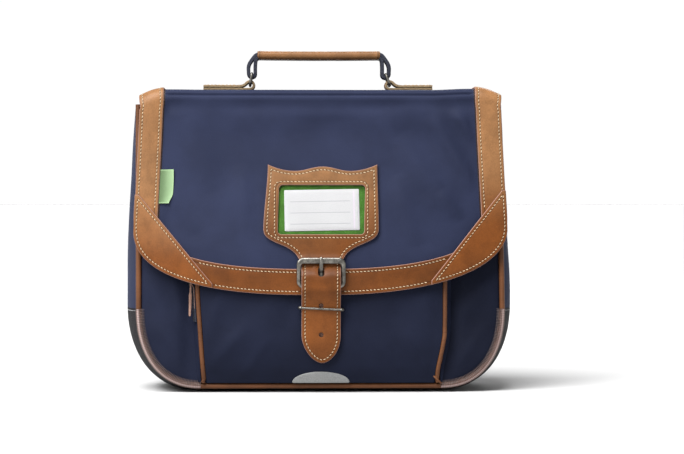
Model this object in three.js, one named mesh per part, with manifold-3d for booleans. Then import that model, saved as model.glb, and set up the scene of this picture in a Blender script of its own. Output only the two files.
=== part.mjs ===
// A child's school ransel: a stiff navy cloth satchel that is carried on the back.
// The cloth body is sewn from a front panel, a gusset and a back panel over corded seams, and its
// lower corners are cased in black wear cloth. A flap edged in tan leather closes over it, held by a
// leather strap and a metal buckle. Millimetres, +Z up, +X to the right, and the front faces -Y.
import * as THREE from "three";
import Module from "manifold-3d";
import { mergeVertices } from "three/addons/utils/BufferGeometryUtils.js";

// Driving dimensions of the body
const CLEARANCE = 0.3; // gap between pieces that lie on each other
const SEAM_HALF_WIDTH = 159.5; // bag centre to the corded seam, low on the side
const SEAM_TAPER = 2; // how much narrower the seam is at the top
const SEAM_BOTTOM = 5.5; // floor to the corded seam under the front panel
const SIDE_TOP = 256; // top edge of the side gussets
const FRONT_TOP = 246; // top edge of the front panel
const BACK_TOP = 256; // top edge of the back panel
const BACK_PIPING_TOP = 250; // where the rear cord ends, under the flap's fold
const CORNER_REACH = 55; // width of the rounded lower corner
const CORNER_RISE = 69; // height of the rounded lower corner
const CORNER_POWER = 2.3; // 2 is an ellipse, more is squarer
const BODY_DEPTH = 112; // front seam to back seam, at the floor
const FRONT_LEAN = 8; // how far the front seam leans back at the top
const PANEL_WALL = 2.5; // cloth, foam and lining of the panels
const GUSSET_BULGE = 13; // how far the sides belly out past the seams
const BASE_SEAM_HEIGHT = 75; // top of the black wear cloth on the sides
const PIPING_RADIUS = 2.4;

// Driving dimensions of the front pocket
const POCKET_HALF_WIDTH = 110;
const POCKET_TOP = 200;
const POCKET_DEPTH = 18; // how far it stands out of the front panel at the middle
const POCKET_EDGE_DROP = 0.35; // share of that depth lost at its side edges
const POCKET_WALL = 2;
const POCKET_SIDE_TOP = 0.93; // share of the pocket's height that its corded sides reach
const POCKET_FLARE = 5; // how far the foot of its side gusset lies outside its edge
const POCKET_PIPING_RADIUS = 2;
const REFLECTOR_WIDTH = 50;
const REFLECTOR_HEIGHT = 9.5;
const REFLECTOR_WALL = 0.6;
const ZIP_WIDTH = 6;
const ZIP_BOTTOM = 62;
const ZIP_TOP = 140;
const ZIP_THICKNESS = 1.2;
const ZIP_PLACE = 0.42; // share of the way from the cord to the gusset's foot
const SLIDER_HEIGHT = 98; // centre of the zip slider above the floor
const SLIDER_LENGTH = 9;
const SLIDER_WIDTH = 5.5;
const SLIDER_THICKNESS = 2.4;
const PULL_LENGTH = 31;
const PULL_WIDTH = 4.4;
const PULL_THICKNESS = 2.2;

// Driving dimensions of the flap
const FLAP_TOP = 270; // upper face of the closed flap
const FLAP_WALL = 2.2;
const FLAP_HALF_WIDTH_TOP = 159.5;
const FLAP_HALF_WIDTH = 162.5; // where its lower corners start
const FLAP_CORNER_START = 147; // height where the straight sides end
const FLAP_DROP = 62; // corner start down to the middle of the lower edge
const FLAP_POWER = 2.6; // squareness of the lower edge's curve
const FLAP_HEM_DROP = 34; // how far the flap is sewn down the back
const FLAP_CREASE = 8; // inner radius of the folds over the top
const FLAP_SIDE_DROOP = 6; // how much lower the top is at its two ends
const FLAP_HUMP = 1.6; // rise of the top between the handle tabs
const LEATHER = 1.7; // thickness of the trim leather
const SIDE_BAND_WIDTH = 20.5;
const BOTTOM_BAND_WIDTH = 24.5;
const BAND_MITRE = 55; // degrees round the corner curve where side and bottom bands meet
const PATCH_TOP = 175; // height of the corner patch's upper point
const PATCH_INNER = 96; // bag centre to the corner patch's inner point
const PATCH_TIP = 2.5; // width of the patch at its two points
const TAG_WIDTH = 11.5;
const TAG_HEIGHT = 29.5;
const TAG_TOP = 194.5;
const TAG_WALL = 0.8;

// Driving dimensions of the shield, its card and the strap
const SHIELD_HALF_WIDTH = 50.8;
const SHIELD_TOP = 200.5;
const SHIELD_DIP = 5.2; // depth of the two hollows in its upper edge
const SHIELD_BUMP = 3.3; // rise of the middle of its upper edge above them
const SHIELD_SHOULDER = 137; // height where its sides turn in
const SHIELD_FOOT = 112; // height where it has narrowed to the strap
const SHIELD_WALL = 3;
const WINDOW_WIDTH = 77.8;
const WINDOW_HEIGHT = 44.2;
const WINDOW_CENTRE = 160.9;
const WINDOW_CORNER = 4;
const CARD_POCKET_MARGIN = 4; // how far the card's frame reaches under the leather
const CARD_FRAME_WALL = 0.5;
const CARD_WALL = 0.3;
const CARD_WIDTH = 68;
const CARD_HEIGHT = 35.5;
const FILM_WALL = 0.25;
const STRAP_WIDTH = 34;
const STRAP_WALL = 2.2;
const STRAP_TIP = 24.6; // floor to the strap's pointed end
const STRAP_TIP_LENGTH = 19; // length of its rounded point
const HOLE_RADIUS = 1.7;
const HOLE_HEIGHTS = [50.6, 76.4];

// Driving dimensions of the buckle
const TOP_BAR_HEIGHT = 115;
const HINGE_HEIGHT = 91.5;
const FRAME_WIDTH = 42.4;
const FRAME_SIDE = 3.4; // width of the frame's two side bars
const TOP_BAR = 5.4; // height of its top bar
const HINGE_BAR = 3;
const FRAME_CORNER = 6;
const FRAME_THICKNESS = 3;
const PRONG_EYE_WALL = 1.15;
const PRONG_WIDTH = 3.8;
const PRONG_THICKNESS = 2.2;
const PRONG_OVERHANG = 3.4; // how far the prong's tip passes the middle of the top bar
const PRONG_SLOT = 9; // length of the slot in the strap that the prong comes through
const KEEPER_HEIGHT = 72.5;
const KEEPER_RADIUS = 0.8;
const CHAPE_WIDTH = 29;
const CHAPE_WALL = 1.3;
const CHAPE_FOOT = 40; // floor to the lower end of the leather that holds the buckle

// Driving dimensions of the handle
const GRIP_LENGTH = 110;
const GRIP_HEIGHT = 8;
const GRIP_DEPTH = 20;
const GRIP_SHIFT = -1; // the handle sits a little to the left of the middle
const GRIP_RISE = 31; // flap top to the middle of the grip
const LOOP_WEB_WIDTH = 18;
const LOOP_WEB_WALL = 2.6;
const RING_RADIUS = 1.5;
const RING_SPAN = 14; // middle of its lower bar to middle of its upper bar
const RING_CORNER = 3;
const TAB_INNER = 58; // bag centre to the tab's looped end
const TAB_LENGTH = 46.3;
const TAB_WIDTH = 19;
const TAB_WALL = 1.8;
const TAB_LOOP_RADIUS = 2.6; // inside of the loop that holds the ring

// Driving dimensions of the carrying straps on the back
const YOKE_HALF_WIDTH = 66;
const YOKE_TOP = 232;
const YOKE_HEIGHT = 26;
const SHOULDER_WIDTH = 48;
const SHOULDER_WALL = 8;
const SHOULDER_TOP = 226;
const SHOULDER_BOTTOM = 92;
const SHOULDER_INSET = 37; // bag centre to the strap's middle at its top
const SHOULDER_SPREAD = 33; // how far it has moved out at its lower end
const SHOULDER_BOW = 30; // how far the strap's middle stands off the back
const WEB_WIDTH = 24;
const WEB_WALL = 1.6;
const ANCHOR_INSET = 96; // bag centre to the middle of the lower anchor
const ANCHOR_HEIGHT = 36;
const ANCHOR_SIZE = 30;
const ADJUSTER_BAR = 4;
const ADJUSTER_HEIGHT = 20;
const ADJUSTER_THICKNESS = 3;

// Tables. Heights and depths are shares of the named sizes that they follow.
const SIDE_BELLY = [
  { height: 0, bulge: 0.6 },
  { height: 0.12, bulge: 0.85 },
  { height: 0.3, bulge: 1 },
  { height: 0.6, bulge: 0.84 },
  { height: 0.85, bulge: 0.62 },
  { height: 1, bulge: 0.42 },
];
const POCKET_PROFILE = [
  { height: 0.04, depth: 0.2 },
  { height: 0.12, depth: 0.62 },
  { height: 0.25, depth: 0.93 },
  { height: 0.4, depth: 1 },
  { height: 0.56, depth: 0.98 },
  { height: 0.8, depth: 0.62 },
  { height: 1, depth: 0.2 },
  { height: 1.15, depth: 0 },
  { height: 1.3, depth: 0 },
];
const POCKET_EDGES = [
  { height: 0.04, left: 0.96, right: 0.945 },
  { height: 0.12, left: 0.97, right: 0.975 },
  { height: 0.25, left: 0.98, right: 1.01 },
  { height: 0.48, left: 0.99, right: 1.015 },
  { height: 1, left: 1, right: 1.01 },
];
const PULL_OUTLINE = [
  { drop: 0, width: 0.3 },
  { drop: 0.3, width: 0.34 },
  { drop: 0.38, width: 0.75 },
  { drop: 0.48, width: 1 },
  { drop: 0.8, width: 0.72 },
  { drop: 1, width: 0.62 },
];
const SHIELD_NECK = [
  { height: 1, width: 1 },
  { height: 0.93, width: 0.94 },
  { height: 0.76, width: 0.74 },
  { height: 0.58, width: 0.4 },
  { height: 0.38, width: 0.18 },
  { height: 0.18, width: 0.07 },
  { height: 0, width: 0 },
];
const SHOULDER_PATH = [
  { drop: 0, spread: 0, bow: 0 },
  { drop: 0.08, spread: 0, bow: 0.2 },
  { drop: 0.28, spread: 0.1, bow: 0.8 },
  { drop: 0.5, spread: 0.34, bow: 1 },
  { drop: 0.76, spread: 0.68, bow: 0.9 },
  { drop: 1, spread: 1, bow: 0.6 },
];

const COLOURS = {
  navy: [0x2d3350, 0.75, 0],
  black: [0x26282a, 0.85, 0],
  leather: [0xa9673a, 0.5, 0],
  suede: [0xb98c5c, 0.9, 0],
  cornerPiping: [0xa08a86, 0.6, 0],
  steel: [0x8f8c84, 0.35, 0.9],
  reflective: [0xc9ccce, 0.4, 0.1],
  green: [0x4f9a3c, 0.6, 0],
  tagGreen: [0x86c65a, 0.8, 0],
  paper: [0xf2f3f2, 0.7, 0],
  film: [0xffffff, 0.1, 0],
  webbing: [0x3a3c4a, 0.8, 0],
};

const wasm = await Module();
wasm.setup();

const radians = THREE.MathUtils.degToRad;
const lerp = THREE.MathUtils.lerp;
const clamp = THREE.MathUtils.clamp;
const smoothstep = THREE.MathUtils.smoothstep;
const point = (x, y, z) => new THREE.Vector3(x, y, z);
const steps = (count) => Array.from({ length: count + 1 }, (_, i) => i / count);
const SIDES = [
  { name: "left", sign: -1 },
  { name: "right", sign: 1 },
];

// A smooth value at one place in a table: a cubic through the rows, whose slope at each row is the
// mean of its neighbours' and is flat where the column turns.
function follow(rows, key, value, at) {
  const sorted = [...rows].sort((a, b) => a[key] - b[key]);
  const last = sorted.length - 1;
  const x = clamp(at, sorted[0][key], sorted[last][key]);
  const i = Math.min(last - 1, sorted.findIndex((row, j) => j === last || x <= sorted[j + 1][key]));
  const rise = (a, b) => (sorted[b][value] - sorted[a][value]) / (sorted[b][key] - sorted[a][key]);
  const slope = (j) => {
    if (j === 0) return rise(0, 1);
    if (j === last) return rise(last - 1, last);
    const before = rise(j - 1, j);
    const after = rise(j, j + 1);
    return before * after <= 0 ? 0 : (2 * before * after) / (before + after);
  };
  const span = sorted[i + 1][key] - sorted[i][key];
  const t = (x - sorted[i][key]) / span;
  return (
    (2 * t ** 3 - 3 * t ** 2 + 1) * sorted[i][value] +
    (t ** 3 - 2 * t ** 2 + t) * span * slope(i) +
    (3 * t ** 2 - 2 * t ** 3) * sorted[i + 1][value] +
    (t ** 3 - t ** 2) * span * slope(i + 1)
  );
}

// A closed body from its corners and triangles, turned so that its faces point out.
function closedBody(corners, triangles) {
  const volume = triangles.reduce(
    (sum, [a, b, c]) => sum + corners[a].dot(point(0, 0, 0).crossVectors(corners[b], corners[c])),
    0,
  );
  const faces = volume < 0 ? triangles.map(([a, b, c]) => [a, c, b]) : triangles;
  const geometry = new THREE.BufferGeometry();
  geometry.setAttribute("position", new THREE.Float32BufferAttribute(corners.flatMap((p) => p.toArray()), 3));
  geometry.setIndex(faces.flat());
  geometry.computeVertexNormals();
  return geometry;
}

// A wall between two grids of points that have the same rows and columns.
function wall(outer, inner) {
  const rows = outer.length;
  const columns = outer[0].length;
  const corners = [...outer.flat(), ...inner.flat()];
  const far = rows * columns;
  const at = (i, j, layer) => i * columns + j + layer * far;
  const triangles = [];
  const quad = (a, b, c, d) => triangles.push([a, b, c], [a, c, d]);
  for (let i = 0; i + 1 < rows; i += 1) {
    for (let j = 0; j + 1 < columns; j += 1) {
      quad(at(i, j, 0), at(i + 1, j, 0), at(i + 1, j + 1, 0), at(i, j + 1, 0));
      quad(at(i, j, 1), at(i, j + 1, 1), at(i + 1, j + 1, 1), at(i + 1, j, 1));
    }
    quad(at(i, 0, 0), at(i, 0, 1), at(i + 1, 0, 1), at(i + 1, 0, 0));
    quad(at(i, columns - 1, 0), at(i + 1, columns - 1, 0), at(i + 1, columns - 1, 1), at(i, columns - 1, 1));
  }
  for (let j = 0; j + 1 < columns; j += 1) {
    quad(at(0, j, 0), at(0, j + 1, 0), at(0, j + 1, 1), at(0, j, 1));
    quad(at(rows - 1, j, 0), at(rows - 1, j, 1), at(rows - 1, j + 1, 1), at(rows - 1, j + 1, 0));
  }
  return closedBody(corners, triangles);
}

// A sheet whose grid holds a surface point and its normal, thickened between two lifts off it.
function sheet(grid, low, high) {
  const lifted = (lift) =>
    grid.map((row) => row.map(({ at, normal }) => at.clone().addScaledVector(normal, lift)));
  return wall(lifted(high), lifted(low));
}

// A solid through rings of points, with its two ends closed by fans.
function loft(rings) {
  const count = rings[0].length;
  const corners = rings.flat();
  const triangles = [];
  for (let i = 0; i + 1 < rings.length; i += 1) {
    for (let j = 0; j < count; j += 1) {
      const k = (j + 1) % count;
      const [a, b, c, d] = [i * count + j, i * count + k, (i + 1) * count + k, (i + 1) * count + j];
      triangles.push([a, b, c], [a, c, d]);
    }
  }
  const lastRing = (rings.length - 1) * count;
  for (let j = 1; j + 1 < count; j += 1) {
    triangles.push([0, j + 1, j], [lastRing, lastRing + j, lastRing + j + 1]);
  }
  return closedBody(corners, triangles);
}

// A flat shape from 2-D corners, pushed out to a thickness along +Z.
function plate(corners, thickness, holes = []) {
  const shape = new THREE.Shape(corners);
  shape.holes = holes.map((hole) => new THREE.Path(hole));
  return new THREE.ExtrudeGeometry(shape, { depth: thickness, bevelEnabled: false, steps: 1 });
}

function roundedRectangle(width, height, radius, arcSteps = 4) {
  const corners = [
    [1, 1, 0],
    [-1, 1, 90],
    [-1, -1, 180],
    [1, -1, 270],
  ];
  return corners.flatMap(([sx, sy, start]) =>
    steps(arcSteps).map((share) => {
      const angle = radians(start + 90 * share);
      return new THREE.Vector2(
        sx * (width / 2 - radius) + radius * Math.cos(angle),
        sy * (height / 2 - radius) + radius * Math.sin(angle),
      );
    }),
  );
}

const circle = (radius, sides) =>
  steps(sides)
    .slice(0, -1)
    .map((t) => new THREE.Vector2(radius * Math.cos(2 * Math.PI * t), radius * Math.sin(2 * Math.PI * t)));

// A strip of one thickness along a 2-D line, as the outline of its edge.
function stripOutline(line, thickness) {
  const offset = (side) =>
    line.map((p, i) => {
      const before = line[Math.max(0, i - 1)];
      const after = line[Math.min(line.length - 1, i + 1)];
      const along = after.clone().sub(before).normalize();
      return new THREE.Vector2(p.x - along.y * side * (thickness / 2), p.y + along.x * side * (thickness / 2));
    });
  return [...offset(1), ...offset(-1).reverse()];
}

// Rings of points round each point of a line. Upright is any direction that the line never takes.
function ringsRound(line, upright, radius, sides, closed) {
  const last = line.length - 1;
  return line.map((p, i) => {
    const before = closed ? line[(i + last) % line.length] : line[Math.max(0, i - 1)];
    const after = closed ? line[(i + 1) % line.length] : line[Math.min(last, i + 1)];
    const along = after.clone().sub(before).normalize();
    const across = along.clone().cross(upright).normalize();
    const up = across.clone().cross(along);
    return circle(radius, sides).map((c) => p.clone().addScaledVector(across, c.x).addScaledVector(up, c.y));
  });
}

// A round cord along a line of points, with flat ends.
const tube = (line, upright, radius, sides = 8) => loft(ringsRound(line, upright, radius, sides, false));

// A round wire closed round a loop of points.
function wireLoop(loop, upright, radius, sides = 6) {
  const rings = ringsRound(loop, upright, radius, sides, true);
  const triangles = [];
  rings.forEach((_, i) => {
    const next = (i + 1) % rings.length;
    for (let j = 0; j < sides; j += 1) {
      const k = (j + 1) % sides;
      const [a, b, c, d] = [i * sides + j, next * sides + j, next * sides + k, i * sides + k];
      triangles.push([a, b, c], [a, c, d]);
    }
  });
  return closedBody(rings.flat(), triangles);
}

// A geometry's places alone, each of them kept once.
function welded(geometry) {
  const bare = geometry.index ? geometry.toNonIndexed() : geometry.clone();
  bare.deleteAttribute("normal");
  bare.deleteAttribute("uv");
  return mergeVertices(bare, 1e-4);
}

// Reverses a geometry's faces where a change of axes has turned it inside out.
function turnedOut(geometry) {
  const { attributes, index } = welded(geometry);
  const corners = Array.from({ length: attributes.position.count }, (_, i) =>
    point(0, 0, 0).fromBufferAttribute(attributes.position, i),
  );
  const flat = Array.from(index.array);
  return closedBody(
    corners,
    Array.from({ length: flat.length / 3 }, (_, i) => flat.slice(3 * i, 3 * i + 3)),
  );
}

function toSolid(geometry) {
  const merged = welded(geometry);
  return new wasm.Manifold(
    new wasm.Mesh({
      numProp: 3,
      vertProperties: merged.attributes.position.array,
      triVerts: new Uint32Array(merged.index.array),
    }),
  );
}

function fromSolid(solid) {
  const mesh = solid.getMesh();
  const geometry = new THREE.BufferGeometry();
  geometry.setAttribute("position", new THREE.BufferAttribute(mesh.vertProperties.slice(), 3));
  geometry.setIndex(new THREE.BufferAttribute(mesh.triVerts.slice(), 1));
  geometry.computeVertexNormals();
  return geometry;
}

const cut = (geometry, ...tools) =>
  fromSolid(tools.reduce((solid, tool) => solid.subtract(toSolid(tool)), toSolid(geometry)));
const join = (...parts) => fromSolid(parts.map(toSolid).reduce((solid, next) => solid.add(next)));

// The corded seam, from the middle of the floor edge round one corner and up one side.
const FLAT_STEPS = 10;
const CORNER_STEPS = 60;
const SEAM = (() => {
  const cornerTop = SEAM_BOTTOM + CORNER_RISE;
  const flat = SEAM_HALF_WIDTH - CORNER_REACH;
  const line = [
    ...steps(FLAT_STEPS).map((t) => [flat * t, SEAM_BOTTOM]),
    ...steps(CORNER_STEPS)
      .slice(1)
      .map((t) => {
        const angle = radians(90 * t);
        return [
          flat + CORNER_REACH * Math.sin(angle) ** (2 / CORNER_POWER),
          cornerTop - CORNER_RISE * Math.cos(angle) ** (2 / CORNER_POWER),
        ];
      }),
    ...steps(20)
      .slice(1)
      .map((t) => [SEAM_HALF_WIDTH - SEAM_TAPER * t, lerp(cornerTop, SIDE_TOP, t)]),
  ];
  let length = 0;
  return line.map(([x, z], i) => {
    if (i) length += Math.hypot(x - line[i - 1][0], z - line[i - 1][1]);
    return { x, z, length };
  });
})();
const SEAM_LENGTH = SEAM.at(-1).length;

function seamSpot(length) {
  const l = clamp(length, 0, SEAM_LENGTH);
  const i = Math.max(1, SEAM.findIndex((row) => row.length >= l));
  const [a, b] = [SEAM[i - 1], SEAM[i]];
  const t = (l - a.length) / (b.length - a.length);
  return { x: lerp(a.x, b.x, t), z: lerp(a.z, b.z, t) };
}

// A place on the seam and its outward normal. A negative length runs to the left.
function seamAt(length) {
  const side = Math.sign(length) || 1;
  const here = seamSpot(Math.abs(length));
  const before = seamSpot(Math.abs(length) - 2);
  const after = seamSpot(Math.abs(length) + 2);
  const run = Math.hypot(after.x - before.x, after.z - before.z);
  return {
    x: side * here.x,
    z: here.z,
    nx: (side * (after.z - before.z)) / run,
    nz: -(after.x - before.x) / run,
  };
}

const seamLengthAtHeight = (z) => {
  const i = SEAM.findIndex((row) => row.z >= z && row.x > SEAM_HALF_WIDTH - CORNER_REACH);
  const [a, b] = [SEAM[i - 1], SEAM[i]];
  return lerp(a.length, b.length, (z - a.z) / (b.z - a.z));
};

const frontSeam = (z) => -BODY_DEPTH / 2 + (FRONT_LEAN * z) / SIDE_TOP;
const backSeam = BODY_DEPTH / 2;
const frontFace = (z) => frontSeam(z) - PANEL_WALL / 2;
const backFace = backSeam + PANEL_WALL / 2;
const bodyBelly = (z) => GUSSET_BULGE * follow(SIDE_BELLY, "height", "bulge", z / SIDE_TOP);

// Lengths along the seam between two lengths, close together only round the lower corners.
const cornerStart = SEAM[FLAT_STEPS].length;
const cornerEnd = SEAM[FLAT_STEPS + CORNER_STEPS].length;
function seamRows(from, to) {
  const bends = [-1, 1].flatMap((side) => steps(9).map((t) => side * lerp(cornerStart, cornerEnd, t)));
  const [low, high] = [Math.min(from, to), Math.max(from, to)];
  const least = PIPING_RADIUS; // rows closer than this would pinch
  const inside = [...bends, 0].filter((length) => length > low + least && length < high - least);
  return [low, ...inside.sort((a, b) => a - b), high];
}

// The gusset along a list of seam lengths: it bellies out between the seams and lies flat where
// it meets the floor.
function gusset(lengths) {
  const layer = (inset) =>
    lengths.map((length) => {
      const seam = seamAt(length);
      return steps(6).map((v) => {
        const belly = bodyBelly(seam.z) * (1 - Math.abs(2 * v - 1) ** 2.4) - inset;
        const front = frontSeam(seam.z) + PIPING_RADIUS + CLEARANCE;
        const back = backSeam - PIPING_RADIUS - CLEARANCE;
        return point(seam.x + seam.nx * belly, lerp(front, back, v), Math.max(inset, seam.z + seam.nz * belly));
      });
    });
  return wall(layer(0), layer(PANEL_WALL));
}

// A panel inside the seam, from its lower edge to a straight top.
function seamPanel(top, y) {
  const inset = PIPING_RADIUS + CLEARANCE;
  const reach = seamLengthAtHeight(top);
  const edge = [-1, 1].flatMap((side) => {
    const half = steps(22).map((t) => {
      const seam = seamAt(side * reach * (side < 0 ? 1 - t : t));
      return new THREE.Vector2(seam.x - seam.nx * inset, seam.z - seam.nz * inset);
    });
    return side < 0 ? half.slice(0, -1) : half;
  });
  const geometry = plate(edge, PANEL_WALL);
  const places = geometry.attributes.position;
  for (let i = 0; i < places.count; i += 1) {
    const [x, z, deep] = [places.getX(i), places.getY(i), places.getZ(i)];
    places.setXYZ(i, x, y(z) - PANEL_WALL / 2 + deep, z);
  }
  return turnedOut(geometry);
}

const seamCord = (from, to, y, sides) =>
  tube(
    seamRows(from, to).map((length) => {
      const seam = seamAt(length);
      return point(seam.x, y(seam.z), seam.z);
    }),
    point(0, 1, 0),
    PIPING_RADIUS,
    sides,
  );

// The front pocket stands out of the front panel as a shallow pillow that thins to its top.
const pocketDepth = (z) => POCKET_DEPTH * follow(POCKET_PROFILE, "height", "depth", z / POCKET_TOP);
const pocketEdgeX = (side, z) =>
  side.sign * POCKET_HALF_WIDTH * follow(POCKET_EDGES, "height", side.name, z / POCKET_TOP);
const pocketBottom = SEAM_BOTTOM + PIPING_RADIUS + CLEARANCE;
const pocketY = (x, z) =>
  frontFace(z) - pocketDepth(z) * (1 - POCKET_EDGE_DROP * Math.min(1, Math.abs(x / POCKET_HALF_WIDTH)) ** 3);

function pocketGrid(lowX, highX, lowZ, highZ, columns, rows) {
  return steps(rows).map((t) =>
    steps(columns).map((c) => {
      const z = lerp(lowZ(c), highZ(c), t);
      return surfaceSpot((x, height) => pocketY(x, height), lerp(lowX(z), highX(z), c), z);
    }),
  );
}

// A spot on a surface that gives y over x and z, with its normal towards the front.
function surfaceSpot(surface, x, z) {
  const reach = 0.5;
  const slopeX = (surface(x + reach, z) - surface(x - reach, z)) / (2 * reach);
  const slopeZ = (surface(x, z + reach) - surface(x, z - reach)) / (2 * reach);
  return { at: point(x, surface(x, z), z), normal: point(slopeX, -1, slopeZ).normalize() };
}

const pocketCordSpot = (side, z) => {
  const x = pocketEdgeX(side, z);
  const clearOfPanel = frontFace(z) - POCKET_PIPING_RADIUS - CLEARANCE;
  return point(x, Math.min(clearOfPanel, pocketY(x, z) + POCKET_WALL / 2), z);
};

// The flap's inner face in front of the bag: it hangs off the seams and rides over the pocket.
const flapRide = (x) => 1 - Math.min(1, Math.abs(x) / FLAP_HALF_WIDTH) ** 3.2;
const flapFrontY = (x, z) => frontSeam(z) - PIPING_RADIUS - CLEARANCE - pocketDepth(z) * flapRide(x);
const flapSpot = (x, z) => surfaceSpot(flapFrontY, x, z);
const flapHalfWidth = (z) => {
  const share = clamp((z - FLAP_CORNER_START) / (FLAP_TOP - FLAP_CORNER_START), 0, 1);
  return lerp(FLAP_HALF_WIDTH, FLAP_HALF_WIDTH_TOP, share);
};
const flapLowerEdge = (u) =>
  FLAP_CORNER_START - FLAP_DROP * (1 - Math.abs(u) ** FLAP_POWER) ** (1 / FLAP_POWER);
const flapInnerTop = (u) =>
  FLAP_TOP - FLAP_WALL - FLAP_SIDE_DROOP * Math.abs(u) ** 6 + FLAP_HUMP * Math.max(0, 1 - (u / 0.36) ** 2);

// The flap's inner face from its hem on the back (run 0) over the top (1 to 4) down the front (4 to 5).
function flapFace(u, run) {
  const top = flapInnerTop(u);
  const backY = backSeam + PIPING_RADIUS + CLEARANCE;
  const halfTop = FLAP_HALF_WIDTH_TOP;
  const frontY = flapFrontY(u * halfTop, top - FLAP_CREASE);
  const turn = (share) => radians(90 * share);
  if (run <= 1) return point(u * halfTop, backY, lerp(FLAP_TOP - FLAP_HEM_DROP, top - FLAP_CREASE, run));
  if (run <= 2) {
    const angle = turn(run - 1);
    return point(
      u * halfTop,
      backY - FLAP_CREASE * (1 - Math.cos(angle)),
      top - FLAP_CREASE * (1 - Math.sin(angle)),
    );
  }
  if (run <= 3) return point(u * halfTop, lerp(backY - FLAP_CREASE, frontY + FLAP_CREASE, run - 2), top);
  if (run <= 4) {
    const angle = turn(run - 3);
    return point(
      u * halfTop,
      frontY + FLAP_CREASE * (1 - Math.sin(angle)),
      top - FLAP_CREASE * (1 - Math.cos(angle)),
    );
  }
  const z = lerp(top - FLAP_CREASE, flapLowerEdge(u), run - 4);
  const x = u * flapHalfWidth(z);
  return point(x, flapFrontY(x, z), z);
}

function flapFaceSpot(u, run) {
  const reach = 0.01;
  const [lowU, highU] = [Math.max(-1, u - reach), Math.min(1, u + reach)];
  const [lowRun, highRun] = [Math.max(0, run - reach), Math.min(5, run + reach)];
  const across = flapFace(highU, run).sub(flapFace(lowU, run));
  const along = flapFace(u, highRun).sub(flapFace(u, lowRun));
  return { at: flapFace(u, run), normal: along.cross(across).normalize() };
}

const FLAP_RUNS = [
  ...steps(1),
  ...steps(3).slice(1).map((t) => 1 + t),
  3,
  ...steps(3).slice(1).map((t) => 3 + t),
  ...steps(8).slice(1).map((t) => 4 + t),
];
const bandLow = FLAP_WALL + CLEARANCE;
const bandHigh = bandLow + LEATHER;
const patchLow = bandHigh + CLEARANCE;
const patchHigh = patchLow + LEATHER;

function makeFlapPanel() {
  const columns = steps(20).map((t) => Math.sin(radians(180 * t - 90)) * 0.9997);
  return sheet(
    FLAP_RUNS.map((run) => columns.map((u) => flapFaceSpot(u, run))),
    0,
    FLAP_WALL,
  );
}

// The two edges of the leather band round the lower corners, at one angle of their curve.
function bandEdges(side, degrees) {
  const angle = radians(degrees);
  const out = Math.sin(angle) ** (2 / FLAP_POWER);
  const down = Math.cos(angle) ** (2 / FLAP_POWER);
  const outer = { x: side * FLAP_HALF_WIDTH * out, z: FLAP_CORNER_START - FLAP_DROP * down };
  const inner = {
    x: side * (FLAP_HALF_WIDTH - SIDE_BAND_WIDTH) * out,
    z: FLAP_CORNER_START - (FLAP_DROP - BOTTOM_BAND_WIDTH) * down,
  };
  return steps(2).map((t) => flapSpot(lerp(outer.x, inner.x, t), lerp(outer.z, inner.z, t)));
}

function makeSideBand(side) {
  const overTop = FLAP_RUNS.filter((run) => run <= 4).map((run) =>
    steps(2).map((t) => flapFaceSpot(side.sign * (1 - (t * SIDE_BAND_WIDTH) / FLAP_HALF_WIDTH_TOP), run)),
  );
  const creaseZ = flapInnerTop(1) - FLAP_CREASE;
  const hanging = steps(8)
    .slice(1, -1)
    .map((t) => {
      const z = lerp(creaseZ, FLAP_CORNER_START, t);
      return steps(2).map((c) => flapSpot(side.sign * (flapHalfWidth(z) - c * SIDE_BAND_WIDTH), z));
    });
  const corner = steps(6).map((t) => bandEdges(side.sign, lerp(90, BAND_MITRE, t)));
  return sheet([...overTop, ...hanging, ...corner], bandLow, bandHigh);
}

function makeBottomBand() {
  const mitreGap = (2 * CLEARANCE) / FLAP_HALF_WIDTH;
  const reach = BAND_MITRE - THREE.MathUtils.radToDeg(mitreGap);
  const rows = steps(26).map((t) => {
    const degrees = lerp(-reach, reach, t);
    return bandEdges(Math.sign(degrees) || 1, Math.abs(degrees));
  });
  return sheet(rows, bandLow, bandHigh);
}

// A corner patch lies between its straight diagonal and the flap's rounded corner.
function makePatch(side) {
  const rim = [
    ...steps(8).map((t) => {
      const z = lerp(PATCH_TOP, FLAP_CORNER_START, t);
      return new THREE.Vector2(flapHalfWidth(z), z);
    }),
    ...steps(40)
      .slice(1)
      .map((t) => {
        const angle = radians(lerp(90, 0, t));
        return new THREE.Vector2(
          FLAP_HALF_WIDTH * Math.sin(angle) ** (2 / FLAP_POWER),
          FLAP_CORNER_START - FLAP_DROP * Math.cos(angle) ** (2 / FLAP_POWER),
        );
      }),
  ].filter((p) => p.x >= PATCH_INNER);
  const lengths = rim.reduce((sums, p, i) => [...sums, i ? sums[i - 1] + p.distanceTo(rim[i - 1]) : 0], []);
  const rimAt = (share) => {
    const l = share * lengths.at(-1);
    const i = Math.max(1, lengths.findIndex((length) => length >= l - 1e-9));
    return rim[i - 1].clone().lerp(rim[i], (l - lengths[i - 1]) / (lengths[i] - lengths[i - 1]));
  };
  const upper = new THREE.Vector2(flapHalfWidth(PATCH_TOP) - PATCH_TIP, PATCH_TOP);
  const lower = new THREE.Vector2(rim.at(-1).x, rim.at(-1).y + PATCH_TIP);
  const rows = steps(14).map((t) => {
    const straight = upper.clone().lerp(lower, t);
    return steps(3).map((c) => {
      const p = straight.clone().lerp(rimAt(t), c);
      return flapSpot(side.sign * p.x, p.y);
    });
  });
  return sheet(rows, patchLow, patchHigh);
}

function makeSideTag() {
  const root = (z) => -(flapHalfWidth(z) - SIDE_BAND_WIDTH - CLEARANCE);
  const rows = steps(4).map((t) => {
    const z = lerp(TAG_TOP - TAG_HEIGHT, TAG_TOP, t);
    return steps(2).map((c) => flapSpot(root(z) + c * TAG_WIDTH, z));
  });
  return sheet(rows, bandLow, bandLow + TAG_WALL);
}

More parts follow.
